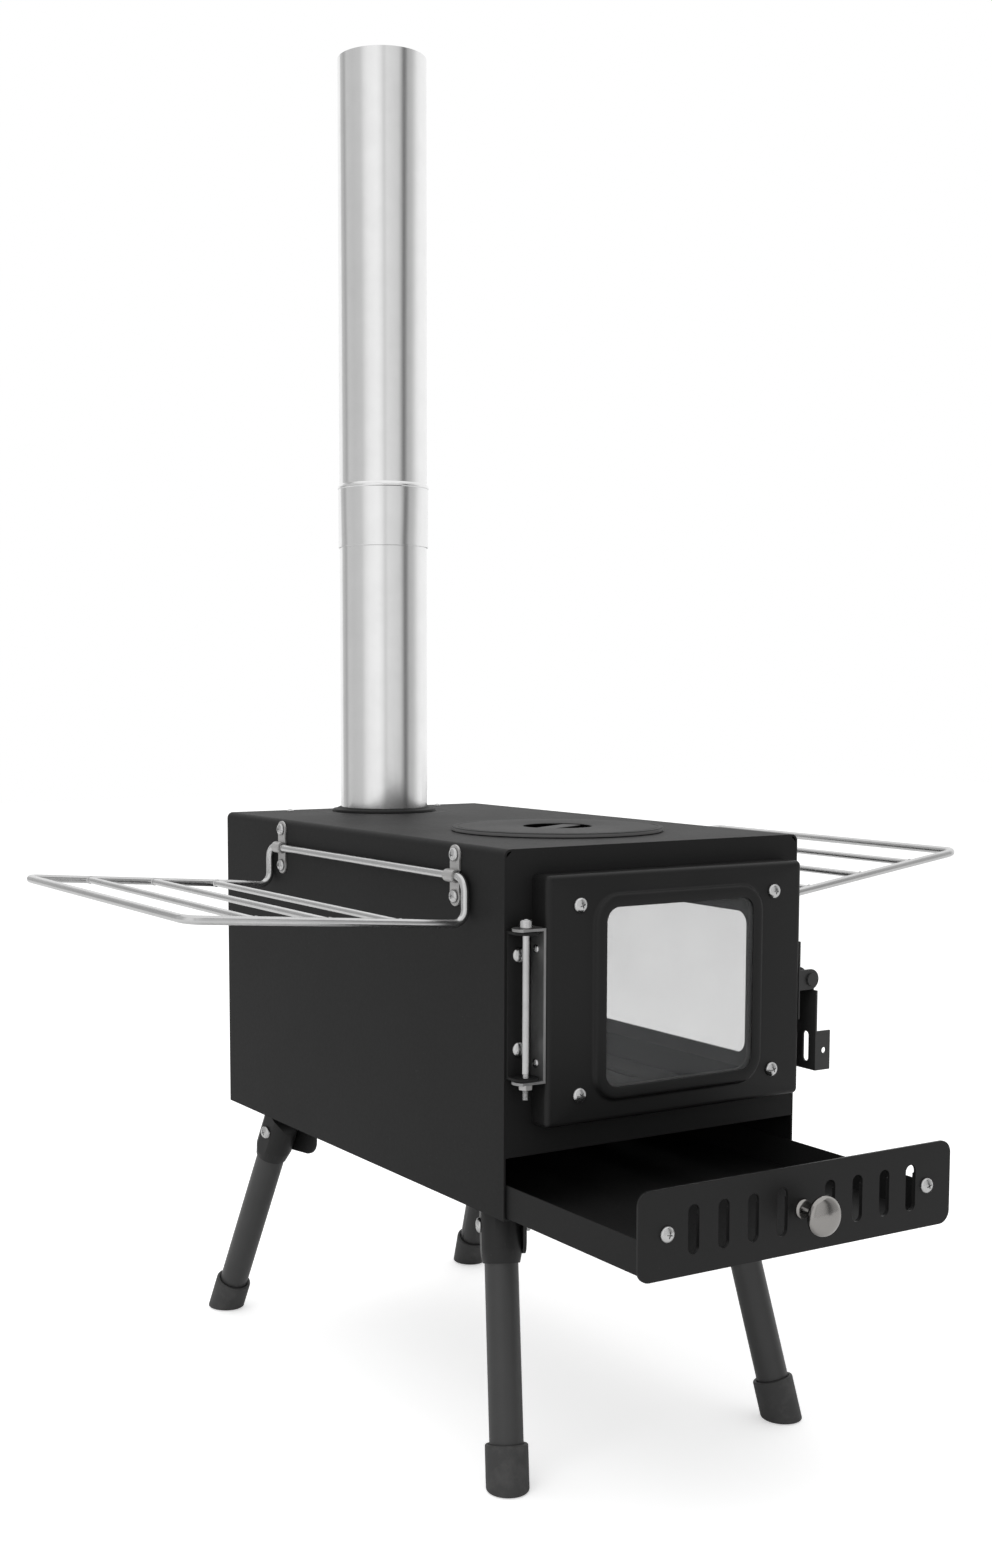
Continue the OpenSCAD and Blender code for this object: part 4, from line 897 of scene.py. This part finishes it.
# %% [markdown]
# The racks are bright rod. The loop is drawn as one line of edges whose corners are bevelled round,
# turned into a curve, and given the rod's thickness. Each cross rod runs between its two sides, with
# a small weld at each end, a ring of metal where the two meet. The right rack stands a little higher
# at its outer side.

# %% Rods
def rod_along(name, points, radius, bend, closed=False):
    """A round rod along straight runs with round bends, ended flat unless it is closed."""
    piece = one_point(points[0])
    for a, b in zip(points, points[1:]):
        extend(b - a)
    if closed:
        extend(points[0] - points[-1])
        bpy.ops.mesh.select_all(action="SELECT")
        bpy.ops.mesh.remove_doubles(threshold=0.01 * MM)
    if bend:
        pick(piece, lambda co: closed or min((co - e).length for e in (points[0], points[-1])) > MM)
        bpy.ops.mesh.bevel(offset=bend, segments=8, affect="VERTICES", profile=0.5)
    bpy.ops.object.mode_set(mode="OBJECT")
    hold(piece)
    bpy.ops.object.convert(target="CURVE")
    wire = bpy.context.object
    wire.data.bevel_depth = radius
    wire.data.bevel_resolution = 5
    wire.data.use_fill_caps = not closed
    hold(wire)
    bpy.ops.object.convert(target="MESH")
    piece = bpy.context.object
    return tidy_skin(settle(piece, name), 50)


def weld_at(spot, across, radius, thick):
    """A small ring of weld metal round a rod end."""
    deselect()
    turn = Vector((0, 0, 1)).rotation_difference(across).to_euler()
    bpy.ops.mesh.primitive_torus_add(major_radius=radius, minor_radius=thick, major_segments=20,
                                     minor_segments=8, location=spot, rotation=turn)
    ring = settle(bpy.context.object, "weld")
    edit(ring)
    pick(ring, lambda co: (co - spot).dot(across) > 0)
    bpy.ops.transform.resize(value=(0.9, 1, 0.9), center_override=spot)
    bpy.ops.object.mode_set(mode="OBJECT")
    hold(ring)
    bpy.ops.object.shade_smooth()
    return ring


RACK_REACH, RACK_STEP, RACK_SLOPE = 164 * MM, 25.5 * MM, math.tan(math.radians(4.5))
PIVOT_OUT, PIVOT_DROP = 2.7 * MM, 17.8 * MM
LOOP_R, LOOP_INSET, CROSS_R, BEND = 2.42 * MM, 2.424 * MM, 2 * MM, 8 * MM
for hand, node, lift in ((-1, "rack_left", 0), (1, "rack_right", 3.5)):
    pivot = Vector((hand * (SIDE_X + PIVOT_OUT), 0, TOP_Z - PIVOT_DROP))
    y0, y1 = low(node).y + LOOP_INSET, high(node).y - LOOP_INSET
    turn = Matrix.Rotation(math.radians(lift), 3, "Y")

    def spot(out, y, up):
        local = turn @ Vector((-out, 0, up))
        return Vector((pivot.x - hand * local.x, y, pivot.z + local.z))

    low_z, high_z = -RACK_STEP, -RACK_STEP + RACK_REACH * RACK_SLOPE
    loop = [spot(0, (y0 + y1) / 2, 0), spot(0, y0, 0), spot(0, y0, low_z),
            spot(RACK_REACH, y0, high_z), spot(RACK_REACH, y1, high_z), spot(0, y1, low_z),
            spot(0, y1, 0)]
    parts = [rod_along("loop", loop, LOOP_R, BEND, True)]
    for share in (0.24, 0.5, 0.76):
        a, b = (spot(share * RACK_REACH, y, low_z + share * RACK_REACH * RACK_SLOPE) for y in (y0, y1))
        parts.append(rod_along("cross", [a, b], CROSS_R, 0))
        for end, way in ((a, 1), (b, -1)):
            seam = end + Vector((0, way * 2.3 * MM, 0))
            parts.append(weld_at(seam, Vector((0, way, 0)), 2.1 * MM, 0.45 * MM))
    rack = join(node + "_rods", parts)
    dress(rack, ROD_STEEL, node, "rod_steel")
    print(rack.name, len(rack.data.polygons), "faces", [round(v, 4) for v in rack.dimensions])


# %% [markdown]
# The drawer is a shallow tray with a slotted front plate. Both are cut and folded sheet, so softened
# copies do. The knob is turned nickel: a foot, a thin neck and a round cap. The outline is a smooth
# curve through a few measured points, spun round the knob's axis.

# %% Drawer and knob
for node, edge, finish in (("drawer_tray", 0.25, TRAY_BLACK), ("drawer_front", 0.4, DOOR_BLACK)):
    piece = softened(node, edge * MM, node + "_sheet")
    dress(piece, finish, node, "door_coat" if node == "drawer_front" else "inner_steel")


def smooth_line(points):
    """Five points for each given one, on a smooth curve through them all."""
    out = []
    for i in range(len(points) - 1):
        p = [Vector(points[max(0, min(len(points) - 1, i + k))]) for k in (-1, 0, 1, 2)]
        for t in (0, 0.2, 0.4, 0.6, 0.8):
            spot = 0.5 * ((2 * p[1]) + (p[2] - p[0]) * t
                          + (2 * p[0] - 5 * p[1] + 4 * p[2] - p[3]) * t * t
                          + (3 * p[1] - p[0] - 3 * p[2] + p[3]) * t ** 3)
            out.append((max(spot.x, 0), spot.y))
    return out + [points[-1]]


knob_back = high("drawer_knob").y
knob_long = knob_back - low("drawer_knob").y
knob_mid = middle("drawer_knob")
k = knob_long / 24
knob_line = [(0, 0), (6.0 * k, 0)] + smooth_line([
    (r * k, z * k) for r, z in (
        (6.0, 0.3), (5.9, 1.2), (5.0, 2.6), (4.35, 5.2), (4.0, 8.5), (4.2, 11.0), (5.2, 12.9),
        (7.6, 14.3), (10.6, 15.5), (11.8, 17.0), (11.95, 18.6), (11.2, 20.5), (8.8, 22.3), (5.4, 23.4),
        (2.0, 23.9), (0.01, 24))]) + [(0, 24 * k)]
knob = turned("knob_turned", knob_line, (knob_mid.x, knob_back, knob_mid.z), (math.pi / 2, 0, 0),
              steps=72, smooth=50)
dress(knob, NICKEL, "drawer_knob", "knob_nickel")
print("knob", [round(v, 4) for v in knob.dimensions])

# %% [markdown]
# The small fittings are the hinge with its bolt, the latch, the rack clamps and the leg brackets.
# Their solids have the right shapes. Softened edges and their own finishes make them read as pressed
# steel. The hinge bolt gets a new turned body with a round socket in its head and rings for a thread.

# %% Small fittings
for node, edge, finish, slot in (
        ("hinge_bracket_door", 0.3, HINGE_ZINC, "zinc"),
        ("hinge_bracket_body", 0.3, BLACK, "black_parts"),
        ("latch_base", 0.25, LATCH_BLACK, "black_parts"),
        ("latch_pin", 0.35, LATCH_BLACK, "black_parts"),
        ("latch_arm", 0.3, LATCH_BLACK, "black_parts"),
        ("rack_clamps_left", 0.3, ZINC, "zinc"), ("rack_clamps_right", 0.3, ZINC, "zinc"),
        ("leg_brackets", 0.5, SMALL_BLACK, "black_parts"), ("hinge_nut", 0.25, ZINC, "zinc"),
        ("latch_stud", 0.2, ZINC, "zinc"), ("knob_screw", 0.2, ZINC, "zinc"),
        ("fire_grate", 0.3, INSIDE, "inner_steel")):
    piece = softened(node, edge * MM, node + "_soft")
    dress(piece, finish, node, slot)
print("small fittings done")

bolt_low, bolt_high = low("hinge_bolt").z, high("hinge_bolt").z
bolt_at = middle("hinge_bolt")
head_low = bolt_high - 4.4 * MM
bolt_line = [(0, bolt_low), (1.5 * MM, bolt_low)]
z = bolt_low + 0.35 * MM
while z < bolt_low + 14 * MM:
    bolt_line += [(2.0 * MM, z), (1.68 * MM, z + 0.35 * MM)]
    z += PITCH
bolt_line += [(2.0 * MM, z), (2.0 * MM, head_low), (3.3 * MM, head_low),
              (3.5 * MM, head_low + 0.2 * MM), (3.5 * MM, bolt_high - 0.5 * MM),
              (3.1 * MM, bolt_high), (1.9 * MM, bolt_high), (1.7 * MM, bolt_high - 0.3 * MM),
              (1.7 * MM, bolt_high - 2.4 * MM), (0, bolt_high - 2.6 * MM)]
bolt = turned("hinge_bolt_turned", bolt_line, (bolt_at.x, bolt_at.y, 0), steps=36)
dress(bolt, SCREW_STEEL, "hinge_bolt", "zinc")
print("bolt", [round(v, 4) for v in bolt.dimensions])

# %% [markdown]
# Each leg is a plain tube between a pressed socket and a rubber foot. The tubes are round already, so
# they only take their finish. Sockets and feet get soft moulded edges from wide bevels.

# %% Legs
for place in ("front_left", "front_right", "back_left", "back_right"):
    dress(softened("socket_" + place, 0.8 * MM, "socket_" + place + "_soft", 3), SMALL_BLACK,
          "socket_" + place, "black_parts")
    dress(softened("foot_" + place, 1.1 * MM, "foot_" + place + "_soft", 3), RUBBER,
          "foot_" + place, "rubber")
    dress(softened("tube_" + place, 0.0, "tube_" + place + "_skin", smooth=40), LEG,
          "tube_" + place, "leg_coat")
print("legs done")

# %% [markdown]
# The room is a pale floor under soft light. The camera and the shiny metals see a plain white room,
# while the coat is lit by a dimmer sky and two large soft lamps. A tall curved screen stands round the
# stove. Only reflections see it, and its soft bands of grey draw the long stripes on the flue.

# %% Room
SKY_LIGHT = 0.75
world = bpy.data.worlds.new("room")
bpy.context.scene.world = world
world.use_nodes = True
tree = world.node_tree
sky = tree.nodes["Background"]
path = tree.nodes.new("ShaderNodeLightPath")
seen = tree.nodes.new("ShaderNodeMath")
seen.operation = "MAXIMUM"
seen_too = tree.nodes.new("ShaderNodeMath")
seen_too.operation = "MAXIMUM"
tree.links.new(path.outputs["Is Camera Ray"], seen.inputs[0])
tree.links.new(path.outputs["Is Glossy Ray"], seen.inputs[1])
tree.links.new(seen.outputs[0], seen_too.inputs[0])
tree.links.new(path.outputs["Is Transmission Ray"], seen_too.inputs[1])
level = tree.nodes.new("ShaderNodeMapRange")
level.inputs["To Min"].default_value = SKY_LIGHT
level.inputs["To Max"].default_value = 1.0
tree.links.new(seen_too.outputs[0], level.inputs["Value"])
tree.links.new(level.outputs[0], sky.inputs["Strength"])
sky.inputs["Color"].default_value = (1, 1, 1, 1)

deselect()
bpy.ops.mesh.primitive_plane_add(size=12, location=(0, 0, -0.0005))
floor = settle(bpy.context.object, "floor")
paper = Finish("floor_paper", Base_Color=grey(0.9), Roughness=0.9, Specular_IOR_Level=0.0,
               Emission_Strength=1.0)
by_camera = paper.node("Light Path", {}, {}, "Is Camera Ray")
paper.set(Emission_Color=paper.mixed(by_camera, grey(0.0), grey(0.5)))
floor.data.materials.append(paper.material)


def lamp(name, place, target, size, power):
    light = bpy.data.lights.new(name, "AREA")
    light.shape = "RECTANGLE"
    light.size = light.size_y = size
    light.energy = power
    holder = bpy.data.objects.new(name, light)
    bpy.context.scene.collection.objects.link(holder)
    holder.location = place
    holder.rotation_euler = (Vector(target) - Vector(place)).to_track_quat("-Z", "Y").to_euler()
    holder.visible_glossy = False
    return holder


lamps = [lamp("key", (-1.3, -0.7, 1.9), (0, 0, 0.3), 1.4, 9),
         lamp("top", (0.3, 0.5, 2.4), (0, 0, 0.3), 1.6, 7)]
print("lamps", [one.name for one in lamps])

# %% A screen for the reflections
eye = Vector((camera.location.x - FLUE.x, camera.location.y - FLUE.y)).normalized()
right = Vector((-eye.y, eye.x))
FAR, SCREEN_LOW, SCREEN_TALL, STEP = 1.9, -0.02, 2.4, 6
# The tone of the screen at each angle from the camera's side of the flue.
TONES = ((-138, 0.62), (-128, 0.55), (-115, 0.40), (-106, 0.62), (-83, 0.58), (-58, 0.62), (-47, 0.84),
         (-36, 0.94), (-14, 1.0), (-3, 0.88), (3, 0.70), (6, 0.66), (11, 0.80), (30, 0.74), (44, 0.68),
         (52, 0.42), (57, 0.16), (63, 0.22), (70, 0.48), (84, 0.56), (92, 0.70), (103, 0.90), (120, 1.0))


def on_screen(degrees):
    t = math.radians(degrees)
    way = eye * math.cos(t) + right * math.sin(t)
    return Vector((FLUE.x + FAR * way.x, FLUE.y + FAR * way.y, SCREEN_LOW))


first, last = TONES[0][0], TONES[-1][0]
screen = one_point(on_screen(first))
for i in range(first, last, STEP):
    extend(on_screen(min(i + STEP, last)) - on_screen(i))
bpy.ops.mesh.select_all(action="SELECT")
extend((0, 0, SCREEN_TALL))
settle(screen, "reflection_screen")

glow = Finish("screen_paint", Base_Color=grey(0.0), Specular_IOR_Level=0.0, Emission_Strength=1.0)
ahead, aside = (glow.node("Vector Math", {"operation": "DOT_PRODUCT"},
                          {0: glow.beside(FLUE), 1: (way.x, way.y, 0)}, "Value")
                for way in (eye, right))
around = glow.node("Math", {"operation": "ARCTAN2"}, {0: aside, 1: ahead}) * (180 / math.pi)
share = around.between(float(first), float(last))
glow.set(Emission_Color=glow.node("Ramp", {"stops": [
    ((at - first) / (last - first), tone) for at, tone in TONES]}, {"Fac": share}))
screen.data.materials.append(glow.material)
screen.visible_camera = False
screen.visible_diffuse = False
screen.visible_shadow = False
screen.visible_transmission = False
print("screen tones", len(TONES))
